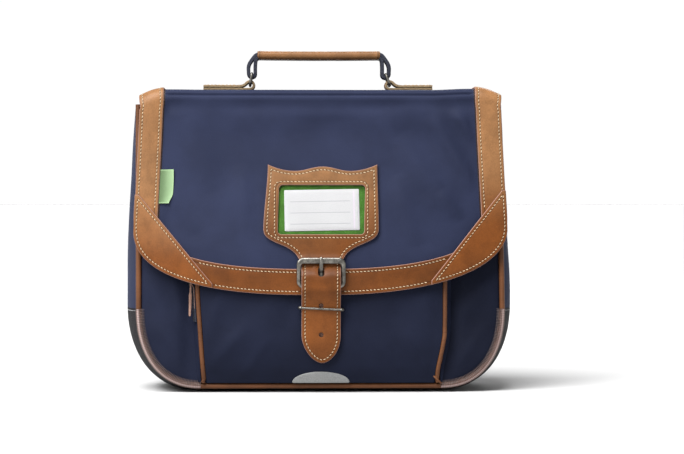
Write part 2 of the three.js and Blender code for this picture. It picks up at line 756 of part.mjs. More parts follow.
// The strap's stack. Each lift is the distance of a face in front of the flap's inner face.
const pocketLift = -(PIPING_RADIUS + CLEARANCE - PANEL_WALL / 2); // the pocket's outer face
const chapeBack = bandHigh + CLEARANCE + CHAPE_WALL / 2; // middle of the layer behind the hinge bar
const eyeInner = Math.hypot(HINGE_BAR, FRAME_THICKNESS) / 2 + CLEARANCE; // round the bar's corners
const eyeOuter = eyeInner + PRONG_EYE_WALL;
const hingeLift = bandHigh + CLEARANCE + eyeOuter;
const chapeFront = hingeLift + eyeOuter - CHAPE_WALL / 2;
const strapOverHinge = hingeLift + eyeOuter + CLEARANCE;
const strapUnderBar = bandHigh + CLEARANCE;
const topBarLift = strapUnderBar + STRAP_WALL + 2 * CLEARANCE + FRAME_THICKNESS / 2;
const chapeSewn = pocketLift + CLEARANCE + CHAPE_WALL / 2;
const keeperChape = chapeSewn + 2 * (KEEPER_RADIUS + CLEARANCE);
const strapAtKeeper = keeperChape + CHAPE_WALL / 2 + 2 * CLEARANCE;
const strapOverFoot = chapeSewn + CHAPE_WALL / 2 + CLEARANCE;
const bucklePitch = TOP_BAR_HEIGHT - HINGE_HEIGHT;
const keeperDrop = HINGE_HEIGHT - KEEPER_HEIGHT;
const STRAP_LIFTS = [
  { height: SHIELD_TOP + SHIELD_WALL, lift: bandLow },
  { height: TOP_BAR_HEIGHT + 0.3 * bucklePitch, lift: bandLow },
  { height: TOP_BAR_HEIGHT, lift: strapUnderBar },
  { height: TOP_BAR_HEIGHT - 0.16 * bucklePitch, lift: strapUnderBar },
  { height: TOP_BAR_HEIGHT - 0.42 * bucklePitch, lift: lerp(strapUnderBar, strapOverHinge, 0.7) },
  { height: TOP_BAR_HEIGHT - 0.62 * bucklePitch, lift: strapOverHinge },
  { height: HINGE_HEIGHT - 0.1 * keeperDrop, lift: strapOverHinge },
  { height: HINGE_HEIGHT - 0.45 * keeperDrop, lift: lerp(strapAtKeeper, strapOverHinge, 0.62) },
  { height: KEEPER_HEIGHT, lift: strapAtKeeper },
  { height: lerp(KEEPER_HEIGHT, CHAPE_FOOT, 0.55), lift: strapOverFoot },
  { height: STRAP_TIP, lift: strapOverFoot },
];
const strapLift = (z) => follow(STRAP_LIFTS, "height", "lift", z);
const leatherWall = (z) =>
  lerp(STRAP_WALL, SHIELD_WALL, smoothstep(z, TOP_BAR_HEIGHT + 0.3 * bucklePitch, SHIELD_SHOULDER));
const stackSpot = (x, z, lift) => {
  const spot = flapSpot(x, z);
  return spot.at.addScaledVector(spot.normal, lift);
};

function shieldHalfWidth(z) {
  const half = STRAP_WIDTH / 2;
  if (z <= STRAP_TIP + STRAP_TIP_LENGTH) {
    const t = clamp((z - STRAP_TIP) / STRAP_TIP_LENGTH, 0, 1);
    return half * (0.12 + 0.88 * (1 - (1 - t) ** 2.1) ** 0.56);
  }
  const neck = clamp((z - SHIELD_FOOT) / (SHIELD_SHOULDER - SHIELD_FOOT), 0, 1);
  const waist = lerp(1, 0.97, smoothstep(z, SHIELD_SHOULDER, SHIELD_TOP));
  return lerp(half, SHIELD_HALF_WIDTH * waist, follow(SHIELD_NECK, "height", "width", neck));
}

// The shield's upper edge has a low bump at its middle, two hollows and two sharp tips.
function shieldTop(share) {
  const away = Math.abs(share);
  const floor = SHIELD_TOP - SHIELD_DIP;
  return away < 0.5
    ? floor + SHIELD_BUMP * 0.5 * (1 + Math.cos(2 * Math.PI * away))
    : floor + SHIELD_DIP * (2 * away - 1) ** 2;
}

// One piece of leather: the shield over the card, its neck and the strap down to its point.
function makeShield() {
  const body = SHIELD_TOP - SHIELD_DIP;
  const heights = [
    ...steps(4).map((t) => lerp(STRAP_TIP, STRAP_TIP + STRAP_TIP_LENGTH, t * t)),
    ...steps(3).slice(1).map((t) => lerp(STRAP_TIP + STRAP_TIP_LENGTH, KEEPER_HEIGHT, t)),
    ...steps(8).slice(1).map((t) => lerp(KEEPER_HEIGHT, TOP_BAR_HEIGHT, t)),
    ...steps(7).slice(1).map((t) => lerp(TOP_BAR_HEIGHT, SHIELD_SHOULDER, t)),
    ...steps(3).slice(1).map((t) => lerp(SHIELD_SHOULDER, body, t)),
  ];
  const grid = (lift) =>
    heights.map((z, i) =>
      steps(14).map((c) => {
        const share = 2 * c - 1;
        const top = i + 1 === heights.length ? shieldTop(share) : z;
        return stackSpot(share * shieldHalfWidth(top), top, lift(top));
      }),
    );
  const blank = wall(
    grid((z) => strapLift(z) + leatherWall(z)),
    grid(strapLift),
  );
  const through = (shape, z, depth = 4 * SHIELD_WALL) => {
    const tool = plate(shape, 2 * depth);
    tool.rotateX(Math.PI / 2);
    tool.translate(0, flapFrontY(0, z) - strapLift(z) + depth, z);
    return tool;
  };
  const hole = circle(HOLE_RADIUS, 12);
  const slotWidth = PRONG_WIDTH + 4 * CLEARANCE;
  return cut(
    blank,
    through(roundedRectangle(WINDOW_WIDTH, WINDOW_HEIGHT, WINDOW_CORNER), WINDOW_CENTRE),
    sheet(cardGrid(cardPocketWidth, cardPocketHeight), FLAP_WALL, cardPocketTop),
    through(roundedRectangle(slotWidth, PRONG_SLOT, slotWidth / 2 - 0.1), prongSlotHeight),
    ...HOLE_HEIGHTS.map((z) => through(hole, z)),
  );
}

// The name card, its green frame and the clear film lie in a pocket behind the shield's window.
const cardPocketWidth = WINDOW_WIDTH + 2 * CARD_POCKET_MARGIN;
const cardPocketHeight = WINDOW_HEIGHT + 2 * CARD_POCKET_MARGIN;
const cardFrameLift = FLAP_WALL + CLEARANCE;
const cardLift = cardFrameLift + CARD_FRAME_WALL + CLEARANCE / 2;
const filmLift = cardLift + CARD_WALL + CLEARANCE / 2;
const cardPocketTop = filmLift + FILM_WALL + CLEARANCE / 2;

function cardGrid(width, height) {
  return steps(5).map((t) =>
    steps(2).map((c) => flapSpot(width * (c - 0.5), WINDOW_CENTRE + height * (t - 0.5))),
  );
}
const cardLayer = (width, height, lift, thickness) =>
  sheet(cardGrid(width - 2 * CLEARANCE, height - 2 * CLEARANCE), lift, lift + thickness);

// The buckle's own frame of reference: its hinge bar is the origin and its top bar lies along +Y.
const hingePlace = stackSpot(0, HINGE_HEIGHT, hingeLift);
const topBarPlace = stackSpot(0, TOP_BAR_HEIGHT, topBarLift);
const framePitch = hingePlace.distanceTo(topBarPlace);
const frameTurn = Math.atan2(topBarPlace.z - hingePlace.z, topBarPlace.y - hingePlace.y);
const prongSlotHeight = TOP_BAR_HEIGHT - 0.46 * bucklePitch;

function makeFrame() {
  const innerWidth = FRAME_WIDTH - 2 * FRAME_SIDE;
  const low = -HINGE_BAR / 2;
  const high = framePitch + TOP_BAR / 2;
  const outer = roundedRectangle(FRAME_WIDTH, high - low, FRAME_CORNER);
  outer.forEach((p) => p.set(p.x, p.y + (low + high) / 2));
  const holeLow = HINGE_BAR / 2;
  const holeHigh = framePitch - TOP_BAR / 2;
  const hole = roundedRectangle(innerWidth, holeHigh - holeLow, FRAME_CORNER - FRAME_SIDE);
  hole.forEach((p) => p.set(p.x, p.y + (holeLow + holeHigh) / 2));
  const bevel = FRAME_THICKNESS / 4;
  const shape = new THREE.Shape(outer);
  shape.holes = [new THREE.Path(hole)];
  const geometry = new THREE.ExtrudeGeometry(shape, {
    depth: FRAME_THICKNESS - 2 * bevel,
    bevelThickness: bevel,
    bevelSize: bevel,
    bevelOffset: -bevel,
    bevelSegments: 1,
    steps: 1,
  });
  geometry.translate(0, 0, bevel - FRAME_THICKNESS / 2);
  return geometry;
}

// The prong: an eye round the hinge bar, and a shank that comes through the strap onto the top bar.
function makeProng() {
  const eye = plate(circle(eyeOuter, 14), PRONG_WIDTH, [circle(eyeInner, 14)]);
  const restLift = FRAME_THICKNESS / 2 + CLEARANCE + PRONG_THICKNESS / 2;
  const shank = plate(
    stripOutline(
      [
        new THREE.Vector2(eyeInner + PRONG_EYE_WALL / 2, eyeInner * 0.35),
        new THREE.Vector2(framePitch * 0.55, restLift * 0.85),
        new THREE.Vector2(framePitch - TOP_BAR / 2, restLift),
        new THREE.Vector2(framePitch + PRONG_OVERHANG, restLift),
      ],
      PRONG_THICKNESS,
    ),
    PRONG_WIDTH,
  );
  const prong = join(eye, shank);
  // The outline is drawn along the frame and away from it, and its width runs along X.
  prong.applyMatrix4(new THREE.Matrix4().makeBasis(point(0, 1, 0), point(0, 0, 1), point(1, 0, 0)));
  prong.translate(-PRONG_WIDTH / 2, 0, 0);
  return prong;
}

// The keeper: a wire loop round the strap and the leather behind it.
function makeKeeper() {
  const frontLift = strapLift(KEEPER_HEIGHT) + STRAP_WALL + CLEARANCE + KEEPER_RADIUS;
  const backLift = keeperChape - CHAPE_WALL / 2 - CLEARANCE - KEEPER_RADIUS;
  const half = STRAP_WIDTH / 2 + 2 * CLEARANCE + KEEPER_RADIUS;
  const middle = stackSpot(0, KEEPER_HEIGHT, (frontLift + backLift) / 2);
  const loop = roundedRectangle(2 * half, frontLift - backLift, 2 * KEEPER_RADIUS, 2);
  const tilt = Math.tan(radians(1.2));
  const line = loop.map((p) => point(p.x, middle.y + p.y, middle.z - p.x * tilt));
  return wireLoop(line, point(0, 0, 1), KEEPER_RADIUS);
}

// The chape: leather sewn to the pocket, folded round the hinge bar and slotted for the prong.
function makeChape() {
  const clearOfFlap = flapLowerEdge(0) - 3;
  const back = [
    { height: CHAPE_FOOT, lift: chapeSewn },
    { height: lerp(CHAPE_FOOT, KEEPER_HEIGHT, 0.55), lift: chapeSewn },
    { height: KEEPER_HEIGHT, lift: keeperChape },
    { height: clearOfFlap, lift: chapeBack },
    { height: HINGE_HEIGHT, lift: chapeBack },
  ];
  const backLine = steps(14).map((t) => {
    const z = lerp(CHAPE_FOOT, HINGE_HEIGHT, t);
    return [z, follow(back, "height", "lift", z)];
  });
  const foldRadius = (chapeFront - chapeBack) / 2;
  const fold = steps(6)
    .slice(1, -1)
    .map((t) => {
      const angle = radians(180 * t);
      return [HINGE_HEIGHT + foldRadius * Math.sin(angle), hingeLift - foldRadius * Math.cos(angle)];
    });
  const end = clearOfFlap + 2;
  const frontLine = steps(3).map((t) => [
    lerp(HINGE_HEIGHT, end, t),
    lerp(chapeFront, chapeBack + CHAPE_WALL + CLEARANCE, smoothstep(t, 0.1, 1)),
  ]);
  const line = [...backLine, ...fold, ...frontLine].map(([z, lift]) => {
    const spot = stackSpot(0, z, lift);
    return new THREE.Vector2(spot.y, spot.z);
  });
  const strip = plate(stripOutline(line, CHAPE_WALL), CHAPE_WIDTH);
  const axes = new THREE.Matrix4().makeBasis(point(0, 1, 0), point(0, 0, 1), point(1, 0, 0));
  strip.applyMatrix4(axes);
  strip.translate(-CHAPE_WIDTH / 2, 0, 0);
  const slotLow = HINGE_HEIGHT - 2 * HINGE_BAR;
  const slot = new THREE.BoxGeometry(
    PRONG_WIDTH + 2 * CLEARANCE,
    6 * HINGE_BAR,
    HINGE_HEIGHT + 3 * HINGE_BAR - slotLow,
  );
  slot.translate(0, hingePlace.y, (slotLow + HINGE_HEIGHT + 3 * HINGE_BAR) / 2);
  return cut(strip, slot);
}

// The handle, measured up from the top of the flap
const tabBase = CLEARANCE;
const ringLowZ = tabBase + TAB_WALL + TAB_LOOP_RADIUS;
const ringLowX = TAB_INNER + TAB_WALL + TAB_LOOP_RADIUS;

// A leather tab: two layers sewn flat, with a round loop at the inner end for the ring.
function makeTab(side) {
  const middle = TAB_LOOP_RADIUS + TAB_WALL / 2;
  const outerX = TAB_INNER + TAB_LENGTH;
  const lower = tabBase + TAB_WALL / 2;
  const upper = lower + TAB_WALL + CLEARANCE;
  const loopEnd = ringLowX + 2.6 * TAB_LOOP_RADIUS;
  const line = [
    [outerX, lower],
    [lerp(outerX, loopEnd, 0.5), lower],
    [ringLowX, lower],
    ...steps(6)
      .slice(1, -1)
      .map((t) => {
        const angle = radians(-90 - 180 * t);
        return [ringLowX + middle * Math.cos(angle), ringLowZ + middle * Math.sin(angle)];
      }),
    [ringLowX, ringLowZ + middle],
    [ringLowX + 0.9 * TAB_LOOP_RADIUS, ringLowZ + 0.82 * middle],
    [lerp(ringLowX, loopEnd, 0.75), lerp(ringLowZ + middle, upper, 0.72)],
    [loopEnd + TAB_WALL, upper],
    [lerp(outerX, loopEnd, 0.5), upper],
    [outerX, upper],
  ].map(([x, z]) => new THREE.Vector2(x, z));
  return crossPlate(line, TAB_WALL, TAB_WIDTH, side.sign);
}

// A strip along a line in the XZ plane, with its width along Y, mirrored for the left side.
function crossPlate(line, thickness, width, sign) {
  const strip = plate(stripOutline(line, thickness), width);
  strip.rotateX(Math.PI / 2);
  strip.translate(0, width / 2, 0);
  strip.scale(sign, 1, 1);
  return turnedOut(strip);
}

const ringTop = (side) => {
  const gripEnd = side.sign * GRIP_SHIFT + GRIP_LENGTH / 2;
  const reach = clamp(gripEnd + 2.2 * LOOP_WEB_WALL - ringLowX, -0.6 * RING_SPAN, 0.6 * RING_SPAN);
  return { x: ringLowX + reach, z: ringLowZ + Math.sqrt(RING_SPAN ** 2 - reach ** 2) };
};

function makeRing(side) {
  const top = ringTop(side);
  const half = LOOP_WEB_WIDTH / 2 + 2 * CLEARANCE + RING_RADIUS;
  const lean = Math.atan2(top.x - ringLowX, top.z - ringLowZ);
  const loop = roundedRectangle(2 * half, RING_SPAN, RING_CORNER, 3);
  const line = loop.map((p) => {
    const up = p.y + RING_SPAN / 2;
    return point(side.sign * (ringLowX + up * Math.sin(lean)), p.x, ringLowZ + up * Math.cos(lean));
  });
  return wireLoop(line, point(1, 0, 0), RING_RADIUS, 8);
}

// The webbing comes out of the grip, goes round the ring's upper bar and back into the grip.
function makeWebLoop(side) {
  const top = ringTop(side);
  const start = side.sign * GRIP_SHIFT + GRIP_LENGTH / 2 + CLEARANCE;
  const turn = RING_RADIUS + CLEARANCE + LOOP_WEB_WALL / 2;
  const layer = 0.25 * GRIP_HEIGHT;
  const bulge = 0.5 * LOOP_WEB_WALL;
  const line = [
    [start, GRIP_RISE + layer],
    [start + 0.4 * LOOP_WEB_WALL, GRIP_RISE + layer],
    [start + 0.62 * (top.x + turn - start), GRIP_RISE + 0.1 * GRIP_HEIGHT],
    [top.x + turn + 0.4 * bulge, lerp(GRIP_RISE, top.z, 0.55)],
    [top.x + turn, top.z],
    ...steps(6)
      .slice(1, -1)
      .map((t) => {
        const angle = radians(-180 * t);
        return [top.x + turn * Math.cos(angle), top.z + turn * Math.sin(angle)];
      }),
    [top.x - turn, top.z],
    [top.x - turn - 0.2 * bulge, lerp(GRIP_RISE, top.z, 0.6)],
    [start + 0.5 * LOOP_WEB_WALL, GRIP_RISE - layer],
    [start, GRIP_RISE - layer],
  ];
  return crossPlate(line.map(([x, z]) => new THREE.Vector2(x, z)), LOOP_WEB_WALL, LOOP_WEB_WIDTH, side.sign);
}

function makeGrip() {
  const section = steps(20)
    .slice(0, -1)
    .map((t) => {
      const angle = 2 * Math.PI * t;
      const square = (value) => Math.sign(value) * Math.abs(value) ** 0.75;
      return new THREE.Vector2(
        (GRIP_HEIGHT / 2) * square(Math.cos(angle)),
        (GRIP_DEPTH / 2) * square(Math.sin(angle)),
      );
    });
  const grip = plate(section, GRIP_LENGTH);
  grip.rotateY(-Math.PI / 2);
  grip.translate(GRIP_SHIFT + GRIP_LENGTH / 2, 0, GRIP_RISE);
  return grip;
}

// The carrying straps
const yokeFace = backFace + CLEARANCE + LEATHER;
const shoulderSpot = (side, drop) => {
  const bow = SHOULDER_BOW * follow(SHOULDER_PATH, "drop", "bow", drop);
  return point(
    side.sign * (SHOULDER_INSET + SHOULDER_SPREAD * follow(SHOULDER_PATH, "drop", "spread", drop)),
    Math.max(yokeFace + CLEARANCE + SHOULDER_WALL / 2, backFace + bow),
    lerp(SHOULDER_TOP, SHOULDER_BOTTOM, drop),
  );
};

// The strap's own directions at one place: along it, across it and out of its face.
function shoulderFrame(side, drop) {
  const ahead = shoulderSpot(side, Math.min(1, drop + 0.03));
  const behind = shoulderSpot(side, Math.max(0, drop - 0.03));
  return { middle: shoulderSpot(side, drop), ...stripAxes(ahead.sub(behind)) };
}

function stripAxes(direction) {
  const along = direction.clone().normalize();
  const across = point(0, 1, 0).cross(along).normalize();
  return { along, across, outward: along.clone().cross(across).normalize() };
}

function makeShoulderStrap(side) {
  const section = roundedRectangle(1, 1, 0.3, 2);
  const rings = steps(12).map((drop) => {
    const { middle, across, outward } = shoulderFrame(side, drop);
    const width = SHOULDER_WIDTH * (1 - 0.3 * smoothstep(drop, 0.8, 1));
    return section.map((p) =>
      middle
        .clone()
        .addScaledVector(across, p.x * width)
        .addScaledVector(outward, p.y * SHOULDER_WALL),
    );
  });
  return loft(rings);
}

// The adjuster carries on in line with the end of the padded strap.
function makeAdjuster(side) {
  const { middle, along, across } = shoulderFrame(side, 1);
  const slotHeight = (ADJUSTER_HEIGHT - 3 * ADJUSTER_BAR) / 2;
  const pitch = (slotHeight + ADJUSTER_BAR) / 2;
  const slots = [pitch, -pitch].map((lift) =>
    roundedRectangle(WEB_WIDTH, slotHeight, slotHeight / 3, 2).map((p) => new THREE.Vector2(p.x, p.y + lift)),
  );
  const outline = roundedRectangle(WEB_WIDTH + 2 * ADJUSTER_BAR, ADJUSTER_HEIGHT, ADJUSTER_BAR);
  const geometry = plate(outline, ADJUSTER_THICKNESS, slots);
  geometry.translate(0, -ADJUSTER_HEIGHT / 2 - CLEARANCE, -ADJUSTER_THICKNESS / 2);
  const up = along.clone().negate();
  const axes = new THREE.Matrix4().makeBasis(across, up, across.clone().cross(up));
  geometry.applyMatrix4(axes.setPosition(middle));
  return geometry;
}

// The webbing below each adjuster bends in to its anchor at the lower corner.
function makeWebbing(side) {
  const { middle, along } = shoulderFrame(side, 1);
  const start = middle.clone().addScaledVector(along, ADJUSTER_HEIGHT + 2 * CLEARANCE);
  const end = point(
    side.sign * ANCHOR_INSET,
    backFace + 2 * CLEARANCE + LEATHER + WEB_WALL / 2,
    ANCHOR_HEIGHT - 0.3 * ANCHOR_SIZE,
  );
  const reach = start.distanceTo(end) / 3;
  const path = new THREE.CubicBezierCurve3(
    start,
    start.clone().addScaledVector(along, reach),
    end.clone().add(point(-side.sign * 0.3 * reach, 0, reach)),
    end,
  );
  const rows = steps(8).map((t) => {
    const { across, outward } = stripAxes(path.getTangent(t));
    return [-0.5, 0.5].map((c) => ({
      at: path.getPoint(t).addScaledVector(across, c * WEB_WIDTH),
      normal: outward,
    }));
  });
  return sheet(rows, -WEB_WALL / 2, WEB_WALL / 2);
}

function makeAnchor(side) {
  const half = ANCHOR_SIZE / 2;
  const corner = new THREE.Vector2(side.sign * ANCHOR_INSET, ANCHOR_HEIGHT);
  const outline = roundedRectangle(ANCHOR_SIZE, ANCHOR_SIZE, half / 3, 3).map((p) => p.clone().add(corner));
  return backPlate(outline, LEATHER, backFace + CLEARANCE);
}

function makeYoke() {
  const low = YOKE_TOP - YOKE_HEIGHT;
  const outline = roundedRectangle(2 * YOKE_HALF_WIDTH, YOKE_HEIGHT, YOKE_HEIGHT / 4).map(
    (p) => new THREE.Vector2(p.x, p.y + low + YOKE_HEIGHT / 2),
  );
  return backPlate(outline, LEATHER, backFace + CLEARANCE);
}

// A flat piece on the back panel.
function backPlate(outline, thickness, y) {
  const geometry = plate(outline, thickness);
  geometry.rotateX(Math.PI / 2);
  geometry.translate(0, y + thickness, 0);
  return geometry;
}

// The pocket's pieces
function makePocketPanel() {
  const inset = POCKET_PIPING_RADIUS + CLEARANCE;
  const grid = pocketGrid(
    (z) => pocketEdgeX(SIDES[0], z) + inset,
    (z) => pocketEdgeX(SIDES[1], z) - inset,
    () => pocketBottom,
    () => POCKET_TOP,
    8,
    12,
  );
  return sheet(grid, -POCKET_WALL, 0);
}

// A spot on the pocket's side gusset, from beside the cord (share 0) to its foot on the panel (1).
function pocketGussetSpot(side, z, share) {
  const edge = pocketCordSpot(side, z);
  const foot = point(edge.x + side.sign * POCKET_FLARE, frontFace(z) - POCKET_WALL / 2 - CLEARANCE, z);
  const down = foot.clone().sub(edge).normalize();
  const start = edge.clone().addScaledVector(down, POCKET_PIPING_RADIUS + 2 * CLEARANCE);
  return { at: start.lerp(foot, share), normal: point(side.sign * down.y, -side.sign * down.x, 0) };
}

function makePocketGusset(side) {
  const low = 0.1 * POCKET_TOP;
  const high = (POCKET_SIDE_TOP - 0.06) * POCKET_TOP;
  const grid = steps(10).map((t) => [0, 1].map((share) => pocketGussetSpot(side, lerp(low, high, t), share)));
  return sheet(grid, -POCKET_WALL / 2, POCKET_WALL / 2);
}

function makeReflector() {
  const low = pocketBottom + POCKET_WALL / 4;
  const arc = (share) => REFLECTOR_HEIGHT * Math.sqrt(Math.max(0.002, 1 - (2 * share - 1) ** 2));
  const grid = pocketGrid(
    () => -REFLECTOR_WIDTH / 2,
    () => REFLECTOR_WIDTH / 2,
    () => low,
    (c) => low + arc(c),
    12,
    2,
  );
  return sheet(grid, CLEARANCE, CLEARANCE + REFLECTOR_WALL);
}

// The zip lies on the left gusset, and its slider on the zip.
const zipLow = POCKET_WALL / 2 + CLEARANCE;
const zipSpot = (z) => pocketGussetSpot(SIDES[0], z, ZIP_PLACE);

function makeZip() {
  const grid = steps(12).map((t) => {
    const { at, normal } = zipSpot(lerp(ZIP_BOTTOM, ZIP_TOP, t));
    const across = point(-normal.y, normal.x, 0);
    return [-0.5, 0.5].map((c) => ({ at: at.clone().addScaledVector(across, c * ZIP_WIDTH), normal }));
  });
  return sheet(grid, zipLow, zipLow + ZIP_THICKNESS);
}

const sliderPlace = (() => {
  const { at, normal } = zipSpot(SLIDER_HEIGHT);
  const lift = zipLow + ZIP_THICKNESS + CLEARANCE + SLIDER_THICKNESS / 2;
  return { at: at.addScaledVector(normal, lift), turn: Math.atan2(normal.y, normal.x) };
})();

function makeSlider() {
  const outline = roundedRectangle(SLIDER_WIDTH, SLIDER_LENGTH, SLIDER_WIDTH / 3, 2);
  const geometry = plate(outline, SLIDER_THICKNESS);
  geometry.translate(0, 0, -SLIDER_THICKNESS / 2);
  geometry.rotateX(Math.PI / 2);
  geometry.rotateZ(Math.PI / 2 + sliderPlace.turn);
  geometry.translate(...sliderPlace.at.toArray());
  return geometry;
}

// The pull: a leather thong that hangs off the slider, narrow above and a blade below.
function makePull() {
  const edge = (sign) =>
    PULL_OUTLINE.map(
      ({ width, drop }) => new THREE.Vector2((sign * width * PULL_WIDTH) / 2, -drop * PULL_LENGTH),
    );
  const corners = [...edge(-1), ...edge(1).reverse()];
  const geometry = plate(corners, PULL_THICKNESS);
  geometry.rotateX(Math.PI / 2);
  const out = SLIDER_THICKNESS / 2 + CLEARANCE;
  const side = Math.cos(sliderPlace.turn) * out - PULL_WIDTH / 4;
  geometry.translate(
    sliderPlace.at.x + side,
    sliderPlace.at.y + Math.sin(sliderPlace.turn) * out - CLEARANCE,
    sliderPlace.at.z,
  );
  return geometry;
}

// The bag: a group for each sub-assembly, and each piece under its own name
const bag = new THREE.Group();
function subassembly(parent, position = point(0, 0, 0)) {
  const group = new THREE.Group();
  group.position.copy(position);
  parent.add(group);
  return group;
}
function add(group, name, colour, geometry) {
  const [color, roughness, metalness] = COLOURS[colour];
  const mesh = new THREE.Mesh(geometry, new THREE.MeshStandardMaterial({ color, roughness, metalness }));
  mesh.name = name;
  group.add(mesh);
}

const baseReach = seamLengthAtHeight(BASE_SEAM_HEIGHT);
const pocketReach = POCKET_HALF_WIDTH * 0.955; // where the tan cord turns into the corner cord
const backCordReach = seamLengthAtHeight(BACK_PIPING_TOP);
const body = subassembly(bag);
add(body, "front_panel", "navy", seamPanel(FRONT_TOP, frontSeam));
add(body, "back_panel", "navy", seamPanel(BACK_TOP, () => backSeam));
add(body, "base_gusset", "black", gusset(seamRows(-baseReach, baseReach)));
add(body, "bottom_piping", "leather", seamCord(-pocketReach, pocketReach, frontSeam, 8));
add(body, "back_piping", "leather", seamCord(-backCordReach, backCordReach, () => backSeam, 6));
for (const { name, sign } of SIDES) {
  const [low, high] = [sign * (baseReach + CLEARANCE), sign * SEAM_LENGTH];
  const cornerLow = sign * (pocketReach + CLEARANCE);
  add(body, `side_gusset_${name}`, "navy", gusset(steps(6).map((t) => lerp(low, high, t))));
  add(body, `side_piping_${name}`, "leather", seamCord(low, high, frontSeam, 8));
  add(body, `corner_piping_${name}`, "cornerPiping", seamCord(cornerLow, sign * baseReach, frontSeam, 8));
}

const pocket = subassembly(bag);
add(pocket, "pocket_panel", "navy", makePocketPanel());
for (const side of SIDES) {
  const [low, high] = [pocketBottom + POCKET_PIPING_RADIUS, POCKET_SIDE_TOP * POCKET_TOP];
  const line = steps(9).map((t) => pocketCordSpot(side, lerp(low, high, t)));
  add(pocket, `pocket_gusset_${side.name}`, "navy", makePocketGusset(side));
  add(pocket, `pocket_piping_${side.name}`, "leather", tube(line, point(1, 0, 0), POCKET_PIPING_RADIUS));
}
add(pocket, "reflector", "reflective", makeReflector());
add(pocket, "zip", "black", makeZip());
add(pocket, "zip_slider", "steel", makeSlider());
add(pocket, "zip_pull", "leather", makePull());

const flap = subassembly(bag);
add(flap, "flap_panel", "navy", makeFlapPanel());
add(flap, "bottom_band", "leather", makeBottomBand());
for (const side of SIDES) {
  add(flap, `side_band_${side.name}`, "leather", makeSideBand(side));
  add(flap, `corner_patch_${side.name}`, "leather", makePatch(side));
}
add(flap, "side_tag", "tagGreen", makeSideTag());

const closure = subassembly(bag);
add(closure, "shield_strap", "leather", makeShield());
const frameLayer = cardLayer(cardPocketWidth, cardPocketHeight, cardFrameLift, CARD_FRAME_WALL);
const filmLayer = cardLayer(cardPocketWidth, cardPocketHeight, filmLift, FILM_WALL);
add(closure, "card_frame", "green", frameLayer);
add(closure, "name_card", "paper", cardLayer(CARD_WIDTH, CARD_HEIGHT, cardLift, CARD_WALL));
add(closure, "card_film", "film", filmLayer);
add(closure, "chape", "leather", makeChape());
add(closure, "keeper", "steel", makeKeeper());
const buckle = subassembly(closure, hingePlace);
buckle.rotation.x = frameTurn;
add(buckle, "buckle_frame", "steel", makeFrame());
add(buckle, "buckle_prong", "steel", makeProng());

const handle = subassembly(bag, point(0, 0, FLAP_TOP));
add(handle, "handle_grip", "leather", makeGrip());
for (const side of SIDES) {
  add(handle, `handle_tab_${side.name}`, "suede", makeTab(side));
  add(handle, `handle_ring_${side.name}`, "steel", makeRing(side));
  add(handle, `handle_web_${side.name}`, "webbing", makeWebLoop(side));
}

const straps = subassembly(bag);
add(straps, "strap_yoke", "leather", makeYoke());
for (const side of SIDES) {
  add(straps, `shoulder_strap_${side.name}`, "navy", makeShoulderStrap(side));
  add(straps, `strap_adjuster_${side.name}`, "steel", makeAdjuster(side));
  add(straps, `strap_webbing_${side.name}`, "webbing", makeWebbing(side));
  add(straps, `strap_anchor_${side.name}`, "leather", makeAnchor(side));
}

// The origin is on the floor under the middle of the bag, straps and buckle included.
const middle = new THREE.Box3().setFromObject(bag).getCenter(point(0, 0, 0));
bag.position.set(-middle.x, -middle.y, 0);
const ransel = new THREE.Group();
ransel.add(bag);

export default ransel;
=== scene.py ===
"""A child's school ransel, dressed over its solids: cloth, leather trim, stitching and metal fittings."""

import math

import bpy
import numpy as np
from bpy.props import FloatProperty, FloatVectorProperty, IntProperty, PointerProperty
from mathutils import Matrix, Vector
from mathutils.geometry import delaunay_2d_cdt


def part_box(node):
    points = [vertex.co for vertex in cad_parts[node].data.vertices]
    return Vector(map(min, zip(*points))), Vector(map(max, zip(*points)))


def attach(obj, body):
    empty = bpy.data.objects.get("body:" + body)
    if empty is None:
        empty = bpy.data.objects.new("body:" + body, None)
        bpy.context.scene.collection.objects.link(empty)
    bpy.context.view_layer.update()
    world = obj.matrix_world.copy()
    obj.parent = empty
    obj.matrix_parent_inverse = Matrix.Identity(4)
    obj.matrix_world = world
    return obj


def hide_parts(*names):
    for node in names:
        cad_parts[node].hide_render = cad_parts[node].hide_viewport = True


bl_info = {
    "name": "School ransel",
    "version": (1, 0, 0),
    "blender": (4, 5, 0),
    "location": "View3D > Sidebar > Ransel",
    "description": "Builds a leather-trimmed school ransel piece by piece",
    "category": "Add Mesh",
}

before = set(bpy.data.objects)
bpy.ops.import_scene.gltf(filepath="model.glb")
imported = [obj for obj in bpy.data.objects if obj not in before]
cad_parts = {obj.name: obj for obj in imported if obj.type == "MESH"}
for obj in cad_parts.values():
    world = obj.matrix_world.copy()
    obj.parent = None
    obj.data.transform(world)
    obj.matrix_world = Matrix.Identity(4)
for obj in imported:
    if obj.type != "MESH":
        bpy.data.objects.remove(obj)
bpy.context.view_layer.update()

# Sizes in millimetres, with the solids' names. Where the two differ, these follow the photo more closely
CLEARANCE = 0.3
SEAM_HALF_WIDTH, SEAM_TAPER, SEAM_BOTTOM = 159.5, -0.4, 5.5
SIDE_TOP, FRONT_TOP, BACK_TOP, BACK_PIPING_TOP = 252.0, 242.0, 252.0, 246.0
CORNER_REACH, CORNER_RISE, CORNER_POWER = 55.0, 69.0, 2.3
BODY_DEPTH, FRONT_LEAN, PANEL_WALL, GUSSET_BULGE = 112.0, 8.0, 2.5, 13.0
BASE_SEAM_HEIGHT, PIPING_RADIUS = 72.5, 2.4
POCKET_HALF_WIDTH, POCKET_TOP, POCKET_DEPTH, POCKET_EDGE_DROP = 110.0, 200.0, 18.0, 0.35
POCKET_WALL, POCKET_SIDE_TOP, POCKET_FLARE, POCKET_PIPING_RADIUS = 2.0, 0.93, 5.0, 2.0
